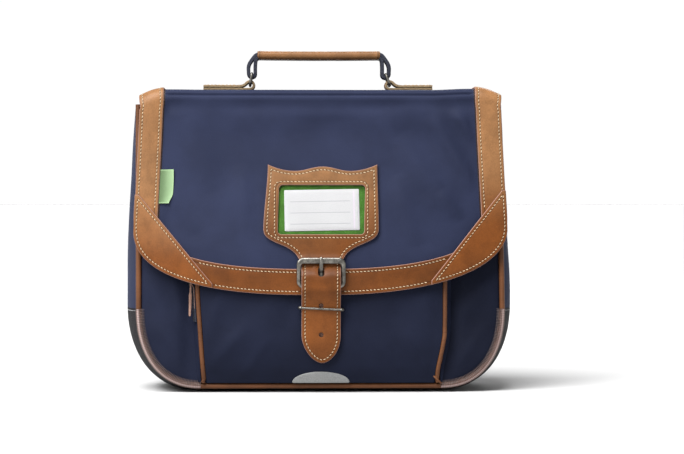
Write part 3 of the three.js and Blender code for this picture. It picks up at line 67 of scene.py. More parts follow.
REFLECTOR_WIDTH, REFLECTOR_HEIGHT, REFLECTOR_WALL = 50.0, 9.5, 0.6
ZIP_BOTTOM, ZIP_TOP, ZIP_THICKNESS, ZIP_PLACE = 62.0, 140.0, 1.2, 0.42
SLIDER_HEIGHT, SLIDER_LENGTH, SLIDER_WIDTH, SLIDER_THICKNESS = 98.0, 9.0, 5.5, 2.4
PULL_LENGTH, PULL_WIDTH, PULL_THICKNESS = 31.0, 4.4, 2.2
FLAP_TOP, FLAP_WALL, FLAP_HALF_WIDTH_TOP, FLAP_HALF_WIDTH = 266.0, 2.2, 157.8, 162.5
FLAP_CORNER_START, FLAP_DROP, FLAP_HEM_DROP = 147.0, 61.3, 34.0
FLAP_POWERS = {-1.0: 2.6, 1.0: 2.28}  # roundness of the flap's two lower corners
FLAP_CREASE, FLAP_SIDE_DROOP = 8.0, 7.0
LEATHER, BOTTOM_BAND_WIDTH, BAND_MITRE = 1.7, 22.4, 55.0
SIDE_BAND_WIDTHS = {-1.0: 20.6, 1.0: 22.3}
PATCH_TOPS, PATCH_INNERS, PATCH_TIP = {-1.0: 172.6, 1.0: 176.4}, {-1.0: 92.0, 1.0: 95.0}, 3.5
TAG_WIDTH, TAG_HEIGHT, TAG_TOP, TAG_WALL = 11.5, 29.5, 194.5, 0.8
SHIELD_HALF_WIDTH, SHIELD_TOP, SHIELD_DIP, SHIELD_BUMP = 50.0, 198.4, 5.8, 3.9
SHIELD_SHOULDER, SHIELD_FOOT, SHIELD_WALL = 141.0, 112.0, 3.0
WINDOW_WIDTH, WINDOW_HEIGHT, WINDOW_CENTRE, WINDOW_CORNER = 75.0, 42.6, 158.8, 3.0
CARD_POCKET_MARGIN, CARD_LAYERS = 4.0, 1.65
CARD_WIDTH, CARD_HEIGHT, CARD_SHIFT, CARD_TURN = 65.2, 35.6, 0.8, 1.0
STRAP_WIDTH, STRAP_WALL, STRAP_TIP, STRAP_TIP_LENGTH = 34.0, 2.2, 27.0, 24.0
HOLE_RADIUS, HOLE_HEIGHTS, STRAP_SWAY, SHIELD_LEAN = 1.7, (51.4, 76.6), 1.0, 1.5
TOP_BAR_HEIGHT, HINGE_HEIGHT, FRAME_WIDTH, FRAME_SIDE = 115.0, 93.0, 42.4, 3.7
TOP_BAR, HINGE_BAR, FRAME_CORNER, FRAME_THICKNESS = 5.4, 3.0, 6.0, 3.0
PRONG_EYE_WALL, PRONG_WIDTH, PRONG_THICKNESS = 1.15, 3.8, 2.2
PRONG_OVERHANG, PRONG_SLOT, KEEPER_HEIGHT, KEEPER_RADIUS = 3.4, 8.0, 74.0, 0.95
CHAPE_WALL, CHAPE_FOOT = 1.3, 40.0
GRIP_LENGTH, GRIP_HEIGHT, GRIP_DEPTH, GRIP_SHIFT, GRIP_RISE = 110.0, 8.4, 20.0, -1.0, 31.9
LOOP_WEB_WIDTH, LOOP_WEB_WALL, RING_RADIUS, RING_SPAN, RING_CORNER = 18.0, 3.1, 1.15, 10.6, 3.0
TAB_INNER, TAB_LENGTHS, TAB_WIDTH, TAB_WALL, TAB_LOOP_RADIUS = 58.0, {-1.0: 46.3, 1.0: 42.8}, 19.0, 2.3, 2.4
YOKE_HALF_WIDTH, YOKE_TOP, YOKE_HEIGHT = 66.0, 232.0, 26.0
SHOULDER_WIDTH, SHOULDER_WALL, SHOULDER_TOP, SHOULDER_BOTTOM = 48.0, 8.0, 226.0, 92.0
SHOULDER_INSET, SHOULDER_SPREAD, SHOULDER_BOW = 37.0, 33.0, 30.0
WEB_WIDTH, WEB_WALL, ANCHOR_INSET, ANCHOR_HEIGHT, ANCHOR_SIZE = 24.0, 1.6, 96.0, 36.0, 30.0
ADJUSTER_BAR, ADJUSTER_HEIGHT, ADJUSTER_THICKNESS = 4.0, 20.0, 3.0

CORNER_CORD_RADIUS = PIPING_RADIUS + 0.45
RIGHT_SEAM_LEAN = 3.4  # how far the right side's seam leans in at its top
BACK_SEAM = BODY_DEPTH / 2
BACK_FACE = BACK_SEAM + PANEL_WALL / 2
SHIFT = np.array([0.0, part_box("back_panel")[1].y * 1000 - BACK_FACE, 0.0])  # solids' frame to the row's
SIDES = (("left", -1.0), ("right", 1.0))

# Tables of shares: (height or drop, value)
SIDE_BELLY = np.array([(0, 0.6), (0.12, 0.85), (0.3, 1), (0.6, 0.84), (0.85, 0.62), (1, 0.42)])
POCKET_PROFILE = np.array([
    (0.04, 0.2), (0.12, 0.62), (0.25, 0.93), (0.4, 1), (0.56, 0.98), (0.8, 0.62), (1, 0.2), (1.15, 0), (1.3, 0),
])
POCKET_EDGES = {
    -1.0: np.array([(0.04, 0.925), (0.1, 0.935), (0.26, 0.955), (0.48, 0.978), (1, 0.985)]),
    1.0: np.array([(0.04, 0.92), (0.1, 0.93), (0.154, 0.949), (0.21, 0.969), (0.26, 0.982), (0.36, 0.984), (1, 0.985)]),
}
PULL_OUTLINE = np.array([(0, 0.42), (0.33, 0.45), (0.4, 0.8), (0.46, 0.72), (0.8, 0.6), (1, 0.52)])
SHIELD_NECK = np.array([
    (0, 0), (0.15, 0.065), (0.33, 0.17), (0.5, 0.38), (0.66, 0.7), (0.79, 0.9), (0.9, 0.975), (1, 1),
])
SHOULDER_SPREADS = np.array([(0, 0), (0.08, 0), (0.28, 0.1), (0.5, 0.34), (0.76, 0.68), (1, 1)])
SHOULDER_BOWS = np.array([(0, 0), (0.08, 0.2), (0.28, 0.8), (0.5, 1), (0.76, 0.9), (1, 0.6)])

# Folds of the cloth in (x, z): start, end, width, height
FRONT_FOLDS = (
    ((-150, 95), (-118, 30), 5.5, 1.0), ((-146, 60), (-116, 22), 4.5, 1.0), ((150, 100), (120, 60), 6.0, 1.0),
    ((148, 62), (116, 18), 5.0, 1.0), ((-132, 110), (-120, 60), 4.0, 1.0),
)
POCKET_FOLDS = (
    ((-98, 20), (-62, 62), 6.0, 1.1), ((-70, 12), (-44, 50), 5.0, 0.8), ((-104, 48), (-84, 88), 7.0, 0.8),
    ((96, 18), (62, 66), 7.0, 1.2), ((74, 12), (50, 44), 5.0, 0.8), ((104, 52), (88, 92), 6.0, 0.8),
    ((-60, 92), (-24, 78), 9.0, 0.7), ((30, 84), (72, 96), 9.0, 0.7),
)
FLAP_FOLDS = (
    ((96, 244), (136, 176), 7, 2.1), ((70, 226), (116, 152), 9, 1.5), ((116, 250), (139, 214), 5, 1.7),
    ((52, 240), (92, 176), 9, 1.0), ((104, 176), (122, 150), 6, 1.0), ((-120, 240), (-92, 176), 12, 0.9),
    ((-136, 190), (-108, 138), 8, 0.9), ((-70, 200), (-58, 130), 10, 0.6), ((66, 190), (84, 128), 8, 0.8),
    ((-40, 246), (38, 244), 6, 0.6), ((56, 252), (110, 246), 5, 0.8),
)

# Sewing: (pitch, length, radius) of the seams that aren't on leather, and the groove that a seam lies in
BASE_STITCH, STRAP_STITCH, HEM_THREAD = (3.6, 1.9, 0.22), (3.6, 2.6, 0.35), 0.4
BASE_STITCH_DROP, SEWN_LIFT, SEAM_SINK, STITCH_SLANT = 1.6, 0.1, 0.12, 0.2
# The last value marks the walls of punched holes, which the leather paints near black as painted shade.
GROOVE_DEPTH, GROOVE_HALF, SHADED_HOLE_WALL = 0.22, 0.9, -4.0

# Stage
SUN_POWER, SUN_WIDTH, SUN_PLACE, AIM = 7.4, 38, (-1.05, -1.5, 3.6), (0, 0, 0.15)
SENSOR, LENS, CAMERA_AWAY = 36.0, 120.2, 2.0


# Numbers and lines

def lerp(a, b, t):
    return a + (b - a) * t


def ease(x, low, high):
    """0 below low, 1 above high, and 3t^2 - 2t^3 between."""
    t = np.clip((x - low) / (high - low), 0, 1)
    return t * t * (3 - 2 * t)


def bell(x, centre, width):
    return np.exp(-(((x - centre) / width) ** 2))


def signed_power(value, power):
    return np.sign(value) * np.abs(value) ** power


def superellipse(u, power):
    return (1 - u**power) ** (1 / power)


def follow(table, at):
    """A cubic through a table's rows. Its slope at a row is the harmonic mean of its neighbours'."""
    xs, ys = table[:, 0], table[:, 1]
    rise = np.diff(ys) / np.diff(xs)
    product = rise[:-1] * rise[1:]
    total = np.where(product > 0, rise[:-1] + rise[1:], 1)
    slopes = np.concatenate([rise[:1], np.where(product > 0, 2 * product / total, 0), rise[-1:]])
    x = np.clip(np.asarray(at, float), xs[0], xs[-1])
    i = np.clip(np.searchsorted(xs, x) - 1, 0, len(xs) - 2)
    span = xs[i + 1] - xs[i]
    t = (x - xs[i]) / span
    return (
        (2 * t**3 - 3 * t**2 + 1) * ys[i]
        + (t**3 - 2 * t**2 + t) * span * slopes[i]
        + (3 * t**2 - 2 * t**3) * ys[i + 1]
        + (t**3 - t**2) * span * slopes[i + 1]
    )


def together(*parts):
    """Numbers and arrays broadcast to one shape."""
    return np.broadcast_arrays(*[np.asarray(p, float) for p in parts])


def points(*parts):
    """Stacks coordinates that broadcast together into an array of points."""
    return np.stack(together(*parts), axis=-1)


def spun(x, y, angle):
    """Two coordinates turned by an angle."""
    return x * math.cos(angle) - y * math.sin(angle), x * math.sin(angle) + y * math.cos(angle)


def circle(sides):
    """Angles at equal steps round a circle."""
    return np.linspace(0, 2 * math.pi, sides, endpoint=False)


def joined(loop):
    """A closed loop with its first point again at its end."""
    return np.concatenate([loop, loop[:1]])


def unit(vectors):
    return vectors / np.maximum(np.linalg.norm(vectors, axis=-1, keepdims=True), 1e-9)


def lengths(line):
    """Distance along a line of points at each of them."""
    steps = np.linalg.norm(np.diff(line, axis=0), axis=1)
    return np.concatenate([[0], np.cumsum(steps)])


def resample(line, spacing=None, count=None):
    """The same line with points at equal distances along it."""
    run = lengths(line)
    count = count or max(2, int(round(run[-1] / spacing)) + 1)
    at = np.linspace(0, run[-1], count)
    return np.stack([np.interp(at, run, line[:, k]) for k in range(line.shape[1])], axis=1)


def rounded(line):
    """Cuts each corner of a line at a quarter and three quarters of its two sides, twice over."""
    for _ in range(2):
        cut = np.empty((2 * (len(line) - 1), line.shape[1]))
        cut[0::2] = lerp(line[:-1], line[1:], 0.25)
        cut[1::2] = lerp(line[:-1], line[1:], 0.75)
        line = np.concatenate([line[:1], cut, line[-1:]])
    return line


def along(line, closed=False):
    """Unit direction of a line at each of its points, from its two neighbours."""
    if closed:
        return unit(np.roll(line, -1, axis=0) - np.roll(line, 1, axis=0))
    return unit(np.gradient(line, axis=0))


def rectangle(width, height, radius, arc=5, per_side=3):
    """A rounded rectangle, counter-clockwise, with some points on each straight side."""
    angle = np.radians(np.linspace(0, 90, arc + 1))
    loop = np.concatenate([
        points(
            sx * (width / 2 - radius) + radius * np.cos(angle + start),
            sy * (height / 2 - radius) + radius * np.sin(angle + start),
        )
        for sx, sy, start in ((1, 1, 0), (-1, 1, math.pi / 2), (-1, -1, math.pi), (1, -1, 1.5 * math.pi))
    ])
    ring = joined(loop)
    place = np.arange(0, len(loop), 1 / per_side)
    return np.stack([np.interp(place, np.arange(len(ring)), ring[:, k]) for k in (0, 1)], axis=1)


def ripples(x, z, low, high, seed, waves=18, angle=None, spread=math.pi):
    """A sum of sine waves over x and z in seeded directions, with wavelengths between two sizes."""
    draw = np.random.default_rng(seed)
    turn = draw.uniform(-spread / 2, spread / 2, waves) + (0 if angle is None else angle)
    pace = 2 * math.pi / draw.uniform(low, high, waves)
    start = draw.uniform(0, 2 * math.pi, waves)
    reach = np.asarray(x)[..., None] * np.cos(turn) + np.asarray(z)[..., None] * np.sin(turn)
    return np.sin(reach * pace + start).sum(-1) / math.sqrt(waves / 2)


def fold(x, z, start, end, width, height):
    """A soft ridge between two places: a bell across its line, fading towards its two ends."""
    (ax, az), (bx, bz) = start, end
    length = math.hypot(bx - ax, bz - az)
    ux, uz = (bx - ax) / length, (bz - az) / length
    share = ((x - ax) * ux + (z - az) * uz) / length
    off = (x - ax) * uz - (z - az) * ux
    fade = np.clip(1 - np.abs(2 * share - 1) ** 2.5, 0, 1)
    return height * bell(off, 0, width) * fade


def folds(x, z, table):
    return sum(fold(x, z, *row) for row in table)


# The bag's surfaces

def seam_table():
    """The corded seam: along the floor, round a superellipse corner and up the side."""
    corner_top = SEAM_BOTTOM + CORNER_RISE
    flat = SEAM_HALF_WIDTH - CORNER_REACH
    angle = np.radians(np.linspace(0, 90, 181))[1:]
    share = np.linspace(0, 1, 21)
    x = np.concatenate([
        flat * share, flat + CORNER_REACH * np.sin(angle) ** (2 / CORNER_POWER),
        SEAM_HALF_WIDTH - SEAM_TAPER * share[1:],
    ])
    z = np.concatenate([
        np.full(21, SEAM_BOTTOM), corner_top - CORNER_RISE * np.cos(angle) ** (2 / CORNER_POWER),
        lerp(corner_top, SIDE_TOP, share[1:]),
    ])
    return x, z, lengths(points(x, z))


SEAM_X, SEAM_Z, SEAM_RUN = seam_table()
SEAM_LENGTH = SEAM_RUN[-1]


def seam_at(length):
    """x, z and outward normal of the seam. A negative length runs to the left."""
    side = np.where(np.asarray(length) < 0, -1.0, 1.0)
    run = np.abs(length)
    spot = lambda r: (np.interp(r, SEAM_RUN, SEAM_X), np.interp(r, SEAM_RUN, SEAM_Z))
    (x, z), (xa, za), (xb, zb) = spot(run), spot(np.maximum(run - 2, 0)), spot(run + 2)
    step = np.hypot(xb - xa, zb - za)
    upright = np.clip((z - SEAM_BOTTOM - CORNER_RISE) / (SIDE_TOP - SEAM_BOTTOM - CORNER_RISE), 0, 1)
    x = x - np.where(side > 0, RIGHT_SEAM_LEAN * upright, 0)
    return side * x, z, side * (zb - za) / step, -(xb - xa) / step


def seam_length_at(z):
    start = int(np.argmax(SEAM_X > SEAM_HALF_WIDTH - CORNER_REACH))
    return float(np.interp(z, SEAM_Z[start:], SEAM_RUN[start:]))


BASE_REACH = seam_length_at(BASE_SEAM_HEIGHT)


def front_seam(z):
    return -BODY_DEPTH / 2 + FRONT_LEAN * z / SIDE_TOP


def front_face(z):
    return front_seam(z) - PANEL_WALL / 2


def body_belly(z):
    return GUSSET_BULGE * follow(SIDE_BELLY, z / SIDE_TOP)


def pocket_depth(z):
    return POCKET_DEPTH * follow(POCKET_PROFILE, z / POCKET_TOP)


def pocket_edge(sign, z):
    return sign * POCKET_HALF_WIDTH * follow(POCKET_EDGES[sign], z / POCKET_TOP)


def pocket_y(x, z):
    drop = POCKET_EDGE_DROP * np.minimum(1, np.abs(x / POCKET_HALF_WIDTH)) ** 3
    return front_face(z) - pocket_depth(z) * (1 - drop)


def flap_front(x, z):
    ride = 1 - np.minimum(1, np.abs(x) / FLAP_HALF_WIDTH) ** 3.2
    return front_seam(z) - PIPING_RADIUS - CLEARANCE - pocket_depth(z) * ride


def on_surface(surface, x, z, lift):
    """A point lifted off a surface that gives y over x and z, along its normal to the front."""
    x, z, lift = together(x, z, lift)
    slope_x = surface(x + 0.5, z) - surface(x - 0.5, z)
    slope_z = surface(x, z + 0.5) - surface(x, z - 0.5)
    normal = unit(points(slope_x, -1, slope_z))
    return points(x, surface(x, z), z) + normal * lift[..., None]


def on_flap(x, z, lift):
    return on_surface(flap_front, x, z, lift)


def on_pocket(x, z, lift):
    return on_surface(pocket_y, x, z, lift)


def flap_half(z):
    share = np.clip((z - FLAP_CORNER_START) / (FLAP_TOP - FLAP_CORNER_START), 0, 1)
    return lerp(FLAP_HALF_WIDTH, FLAP_HALF_WIDTH_TOP, share)


def by_side(table, side):
    return np.where(np.asarray(side) > 0, table[1.0], table[-1.0])


def flap_power(side):
    return by_side(FLAP_POWERS, side)


def band_width(side):
    return by_side(SIDE_BAND_WIDTHS, side)


def flap_lower(u):
    return FLAP_CORNER_START - FLAP_DROP * superellipse(np.abs(u), flap_power(u))


def flap_inner_top(u):
    away = np.abs(u)
    swell = np.where(np.asarray(u) > 0, 1.1, 0.3) * ease(away, 0.62, 0.82)
    fall = FLAP_SIDE_DROOP * np.clip((away - 0.86) / 0.14, 0, 1) ** 1.6
    return FLAP_TOP - FLAP_WALL - 0.7 + swell - fall


def flap_face(u, run):
    """The flap's inner face: run 0 to 1 up the back, 1 to 4 over the two folds, 4 to 5 down the front."""
    top = flap_inner_top(u)
    back_y = BACK_SEAM + PIPING_RADIUS + CLEARANCE
    front_y = flap_front(u * FLAP_HALF_WIDTH_TOP, top - FLAP_CREASE)
    share = lambda start: np.clip(run - start, 0, 1)
    first, second = np.radians(90 * share(1)), np.radians(90 * share(3))
    y = back_y - FLAP_CREASE * (1 - np.cos(first)) + share(2) * (front_y - back_y + 2 * FLAP_CREASE)
    y = y - FLAP_CREASE * np.sin(second)
    z = lerp(FLAP_TOP - FLAP_HEM_DROP, top - FLAP_CREASE, share(0))
    z = z + FLAP_CREASE * np.sin(first) - FLAP_CREASE * (1 - np.cos(second))
    z = lerp(z, flap_lower(u), share(4))
    x = u * np.where(run > 4, flap_half(z), FLAP_HALF_WIDTH_TOP)
    return points(x, np.where(run > 4, flap_front(x, z), y), z)


def on_flap_sheet(u, run, lift):
    """A point lifted off the whole flap along its outward normal."""
    u, run, lift = together(u, run, lift)
    across = flap_face(np.minimum(1, u + 0.01), run) - flap_face(np.maximum(-1, u - 0.01), run)
    down = flap_face(u, np.minimum(5, run + 0.01)) - flap_face(u, np.maximum(0, run - 0.01))
    return flap_face(u, run) + unit(np.cross(down, across)) * lift[..., None]


BAND_LOW = FLAP_WALL + CLEARANCE
BAND_HIGH = BAND_LOW + LEATHER
PATCH_LOW = BAND_HIGH + CLEARANCE
PATCH_HIGH = PATCH_LOW + LEATHER
EYE_INNER = math.hypot(HINGE_BAR, FRAME_THICKNESS) / 2 + CLEARANCE
EYE_OUTER = EYE_INNER + PRONG_EYE_WALL
HINGE_LIFT = BAND_HIGH + CLEARANCE + EYE_OUTER
OVER_HINGE = HINGE_LIFT + EYE_OUTER + CLEARANCE
UNDER_BAR = BAND_HIGH + CLEARANCE
TOP_BAR_LIFT = UNDER_BAR + STRAP_WALL + 2 * CLEARANCE + FRAME_THICKNESS / 2
CHAPE_SEWN = PANEL_WALL / 2 - PIPING_RADIUS + CHAPE_WALL / 2
KEEPER_CHAPE = CHAPE_SEWN + 2 * (KEEPER_RADIUS + CLEARANCE)
AT_KEEPER = KEEPER_CHAPE + CHAPE_WALL / 2 + 2 * CLEARANCE
OVER_FOOT = CHAPE_SEWN + CHAPE_WALL / 2 + CLEARANCE
PITCH = TOP_BAR_HEIGHT - HINGE_HEIGHT
KEEPER_DROP = HINGE_HEIGHT - KEEPER_HEIGHT
STRAP_LIFTS = np.array([
    (STRAP_TIP, OVER_FOOT),
    (lerp(KEEPER_HEIGHT, CHAPE_FOOT, 0.55), OVER_FOOT),
    (KEEPER_HEIGHT, AT_KEEPER),
    (HINGE_HEIGHT - 0.45 * KEEPER_DROP, lerp(AT_KEEPER, OVER_HINGE, 0.62)),
    (HINGE_HEIGHT - 0.1 * KEEPER_DROP, OVER_HINGE),
    (TOP_BAR_HEIGHT - 0.62 * PITCH, OVER_HINGE),
    (TOP_BAR_HEIGHT - 0.42 * PITCH, lerp(UNDER_BAR, OVER_HINGE, 0.7)),
    (TOP_BAR_HEIGHT - 0.16 * PITCH, UNDER_BAR),
    (TOP_BAR_HEIGHT, UNDER_BAR),
    (TOP_BAR_HEIGHT + 0.3 * PITCH, BAND_LOW),
    (SHIELD_TOP + SHIELD_WALL, BAND_LOW),
])


def strap_lift(z):
    return follow(STRAP_LIFTS, z)


def strap_wall(z):
    return lerp(STRAP_WALL, SHIELD_WALL, ease(z, TOP_BAR_HEIGHT + 0.3 * PITCH, SHIELD_SHOULDER))


def shield_half(z):
    half = STRAP_WIDTH / 2
    t = np.clip((z - STRAP_TIP) / STRAP_TIP_LENGTH, 0, 1)
    tip = half * (0.05 + 0.95 * (1 - (1 - t) ** 1.9) ** 0.62)
    neck = np.clip((z - SHIELD_FOOT) / (SHIELD_SHOULDER - SHIELD_FOOT), 0, 1)
    waist = lerp(1, 0.955, ease(z, SHIELD_SHOULDER, SHIELD_TOP))
    wide = lerp(half, SHIELD_HALF_WIDTH * waist, follow(SHIELD_NECK, neck))
    return np.where(z <= STRAP_TIP + STRAP_TIP_LENGTH, tip, wide)


def shield_top(share):
    away = np.abs(share)
    floor = SHIELD_TOP - SHIELD_DIP
    bump = floor + SHIELD_BUMP * 0.5 * (1 + np.cos(2 * math.pi * away))
    return np.where(away < 0.5, bump, floor + SHIELD_DIP * (2 * away - 1) ** 2)


# Meshes

class Shell:
    """Collects the points and faces of one closed piece, in millimetres, and makes its mesh."""

    def __init__(self):
        self.points, self.edges, self.sizes, self.corners, self.uvs = [], [], [], [], []
        self.count = 0

    def add(self, places, edge=5.0):
        """Adds points, with their distance from the piece's cut edge, and returns their numbers."""
        places = np.asarray(places, float)
        shape = places.shape[:-1]
        self.points.append(places.reshape(-1, 3))
        self.edges.append(np.broadcast_to(edge, shape).reshape(-1))
        numbers = np.arange(self.count, self.count + int(np.prod(shape))).reshape(shape)
        self.count += numbers.size
        return numbers

    def faces(self, corners, uvs=None):
        """Adds faces that all have the same number of corners."""
        corners = np.asarray(corners).reshape(-1, np.shape(corners)[-1])
        self.sizes.append(np.full(len(corners), corners.shape[1]))
        self.corners.append(corners.reshape(-1))
        uvs = np.zeros((corners.size, 2)) if uvs is None else np.asarray(uvs, float).reshape(-1, 2)
        self.uvs.append(uvs)

    def grid(self, numbers, u, v, wrap_rows=False, wrap_columns=False):
        """Quads over rows and columns of points, with u down the rows and v across them."""
        u = np.append(u, 2 * u[-1] - u[-2]) if wrap_rows else np.asarray(u, float)
        v = np.append(v, 2 * v[-1] - v[-2]) if wrap_columns else np.asarray(v, float)
        if wrap_rows:
            numbers = joined(numbers)
        if wrap_columns:
            numbers = np.concatenate([numbers, numbers[:, :1]], axis=1)
        place = np.stack(np.meshgrid(u, v, indexing="ij"), axis=-1)
        uvs = np.stack([place[:-1, :-1], place[1:, :-1], place[1:, 1:], place[:-1, 1:]], axis=-2)
        self.faces(self.quads(numbers), uvs)

    def tubes(self, rings):
        """Adds many short closed tubes at once: rings holds the rings of each."""
        numbers = self.add(rings)
        self.faces(self.quads(np.concatenate([numbers, numbers[:, :, :1]], axis=2)))
        self.faces(numbers[:, 0, :])
        self.faces(numbers[:, -1, ::-1])

    @staticmethod
    def quads(n):
        return np.stack([n[..., :-1, :-1], n[..., 1:, :-1], n[..., 1:, 1:], n[..., :-1, 1:]], axis=-1)

    def dress(self, node, finish, name=None):
        """Makes the piece that stands for one of the solids."""
        piece = self.build(name or f"dressed_{node}", finish)
        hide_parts(node)
        return piece

    def build(self, name, finish, sharp=35):
        """Turns the faces outwards and makes the object, which rides on the bag."""
        material, slot = finish
        places = np.concatenate(self.points)
        sizes, corners = np.concatenate(self.sizes), np.concatenate(self.corners)
        uvs = np.concatenate(self.uvs)
        starts = np.concatenate([[0], np.cumsum(sizes)[:-1]])
        if self.volume(places, sizes, starts, corners) < 0:
            owner = np.repeat(np.arange(len(sizes)), sizes)
            step = np.arange(len(corners)) - starts[owner]
            order = starts[owner] + (sizes[owner] - step) % sizes[owner]
            corners, uvs = corners[order], uvs[order]
        mesh = bpy.data.meshes.new(name)
        mesh.vertices.add(len(places))
        mesh.loops.add(len(corners))
        mesh.polygons.add(len(sizes))
        mesh.vertices.foreach_set("co", ((places + SHIFT) / 1000).astype(np.float32).ravel())
        mesh.loops.foreach_set("vertex_index", corners.astype(np.int32))
        mesh.polygons.foreach_set("loop_start", starts.astype(np.int32))
        mesh.update(calc_edges=True)
        layer = mesh.uv_layers.new(name="UVMap")
        layer.data.foreach_set("uv", (uvs / 1000).astype(np.float32).ravel())
        edge = mesh.attributes.new("edge", "FLOAT", "POINT")
        edge.data.foreach_set("value", np.concatenate(self.edges).astype(np.float32))
        if mesh.validate(verbose=False):
            raise RuntimeError(f"the mesh of {name} had faces that aren't sound")
        mesh.shade_smooth()
        if sharp:
            mesh.set_sharp_from_angle(angle=math.radians(sharp))
        piece = bpy.data.objects.new(name, mesh)
        bpy.context.scene.collection.objects.link(piece)
        mesh.materials.append(material)
        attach(piece, "root")
        return piece

    @staticmethod
    def volume(places, sizes, starts, corners):
        """Six times the signed volume: fans of triangles from each face's first corner."""
        total = 0.0
        for step in range(1, int(sizes.max()) - 1):
            wide = starts[sizes > step + 1]
            a, b, c = (places[corners[wide + k]] for k in (0, step, step + 1))
            total += float((a * np.cross(b, c)).sum())
        return total


def sheet_shell(outer, inner, u, v, edge=5.0):
    """A wall between two grids of points that have the same rows and columns."""
    shell = Shell()
    top, low = shell.add(outer, edge), shell.add(inner, edge)
    shell.grid(top, u, v)
    shell.grid(low[:, ::-1], u, v[::-1])
    rim = lambda a, b: shell.faces(np.stack([a[:-1], b[:-1], b[1:], a[1:]], axis=-1))
    rim(low[0], top[0])
    rim(top[-1], low[-1])
    rim(top[:, 0], low[:, 0])
    rim(low[:, -1], top[:, -1])
    return shell


def sweep(rings, closed=False, edge=5.0, u=None, v=None, shell=None):
    """Closed sections carried along a path: rings of points, joined each to the next, with flat ends."""
    shell = shell or Shell()
    numbers = shell.add(rings, edge)
    middle = rings.mean(axis=1)
    u = lengths(middle) if u is None else u
    v = lengths(rings[len(rings) // 2]) if v is None else v
    shell.grid(numbers, u, v, wrap_rows=closed, wrap_columns=True)
    if not closed:
        shell.faces(numbers[0][None, :])
        shell.faces(numbers[-1][None, ::-1])
    return shell


def tube_rings(line, radius, up, sides=14, closed=False):
    """Circles round a line of points."""
    direction = along(line, closed)
    across = unit(np.cross(direction, np.asarray(up, float)))
    high = np.cross(across, direction)
    angle = circle(sides)
    radius = np.broadcast_to(radius, (len(line),))[:, None, None]
    return (
        line[:, None]
        + radius * np.cos(angle)[None, :, None] * across[:, None]
        + radius * np.sin(angle)[None, :, None] * high[:, None]
    )


def strip_rings(line, across, outward, section):
    """A flat section, given as (across, outward) pairs, carried along a line with its own directions."""
    return line[:, None] + section[None, :, :1] * across[:, None] + section[None, :, 1:] * outward[:, None]


def strap_section(width, thickness, crown, groove=None):
    """The cross-section of a leather strip: rounded edges, a crowned face and a groove along each seam.

    Gives (inset from the left edge, lift) pairs and each point's distance from the nearest edge."""
    r = min(0.45 * thickness, 0.8)
    half = [(0.5 * r, 0), (0, 0.5 * r), (0, thickness - r), (0.3 * r, thickness - 0.3 * r), (r, thickness)]
    if groove:
        brim = thickness + 0.02
        half += [(groove - GROOVE_HALF, brim), (groove, thickness - GROOVE_DEPTH), (groove + GROOVE_HALF, brim)]
    half += [(lerp(groove or r, width / 2, t), thickness + crown * t) for t in (0.4, 0.7)]
    half = np.array(half)
    right = half[::-1] * [-1, 1] + [width, 0]
    loop = np.concatenate([half, [[width / 2, thickness + crown]], right, [[width / 2, 0]]])
    inset = np.minimum(loop[:, 0], width - loop[:, 0])
    top = loop[:, 1] > thickness - 0.2 * r - GROOVE_DEPTH * (inset > 1)
    return loop, np.where(top, inset, 0)


# Flat shapes with holes, laid on a surface

def signed_area(loop):
    x, z = loop[:, 0], loop[:, 1]
    return 0.5 * float((x * np.roll(z, -1) - np.roll(x, -1) * z).sum())


def turned(loop, counter=True):
    return loop if (signed_area(loop) > 0) == counter else loop[::-1]


def offset(loop, distance):
    """Moves each point of a closed loop along its mitred normal, to the left of its direction."""
    ahead = unit(np.roll(loop, -1, axis=0) - loop)
    behind = np.roll(ahead, 1, axis=0)
    left = lambda d: np.stack([-d[:, 1], d[:, 0]], axis=1)
    total = left(ahead) + left(behind)
    stretch = np.maximum(1 + (ahead * behind).sum(1), 0.35)
    return loop + distance * total / stretch[:, None]


def distance_to(places, loops):
    """Each place's distance to the nearest edge of some closed loops."""
    best = np.full(len(places), 1e9)
    for loop in loops:
        a, b = loop, np.roll(loop, -1, axis=0)
        d = b - a
        square = np.maximum((d * d).sum(1), 1e-12)
        t = np.clip(((places[:, None] - a) * d).sum(-1) / square, 0, 1)
        gap = np.linalg.norm(places[:, None] - a - t[..., None] * d, axis=-1)
        best = np.minimum(best, gap.min(1))
    return best


def inside(places, loops):
    """Whether each place is inside an odd number of closed loops."""
    count = np.zeros(len(places), int)
    for loop in loops:
        a, b = loop, np.roll(loop, -1, axis=0)
        x, z = places[:, :1], places[:, 1:]
        crosses = (a[:, 1] > z) != (b[:, 1] > z)
        rise = np.where(b[:, 1] == a[:, 1], 1, b[:, 1] - a[:, 1])
        count += (crosses & (x < a[:, 0] + (z - a[:, 1]) * (b[:, 0] - a[:, 0]) / rise)).sum(1)
    return count % 2 == 1


def inset_line(loop, distance, loops=None):
    """The loop moved inwards, without the points that a sharp corner has thrown too near the edge."""
    moved = offset(loop, distance)
    near = distance_to(moved, loops or [loop])
    return moved[near > 0.97 * abs(distance)]


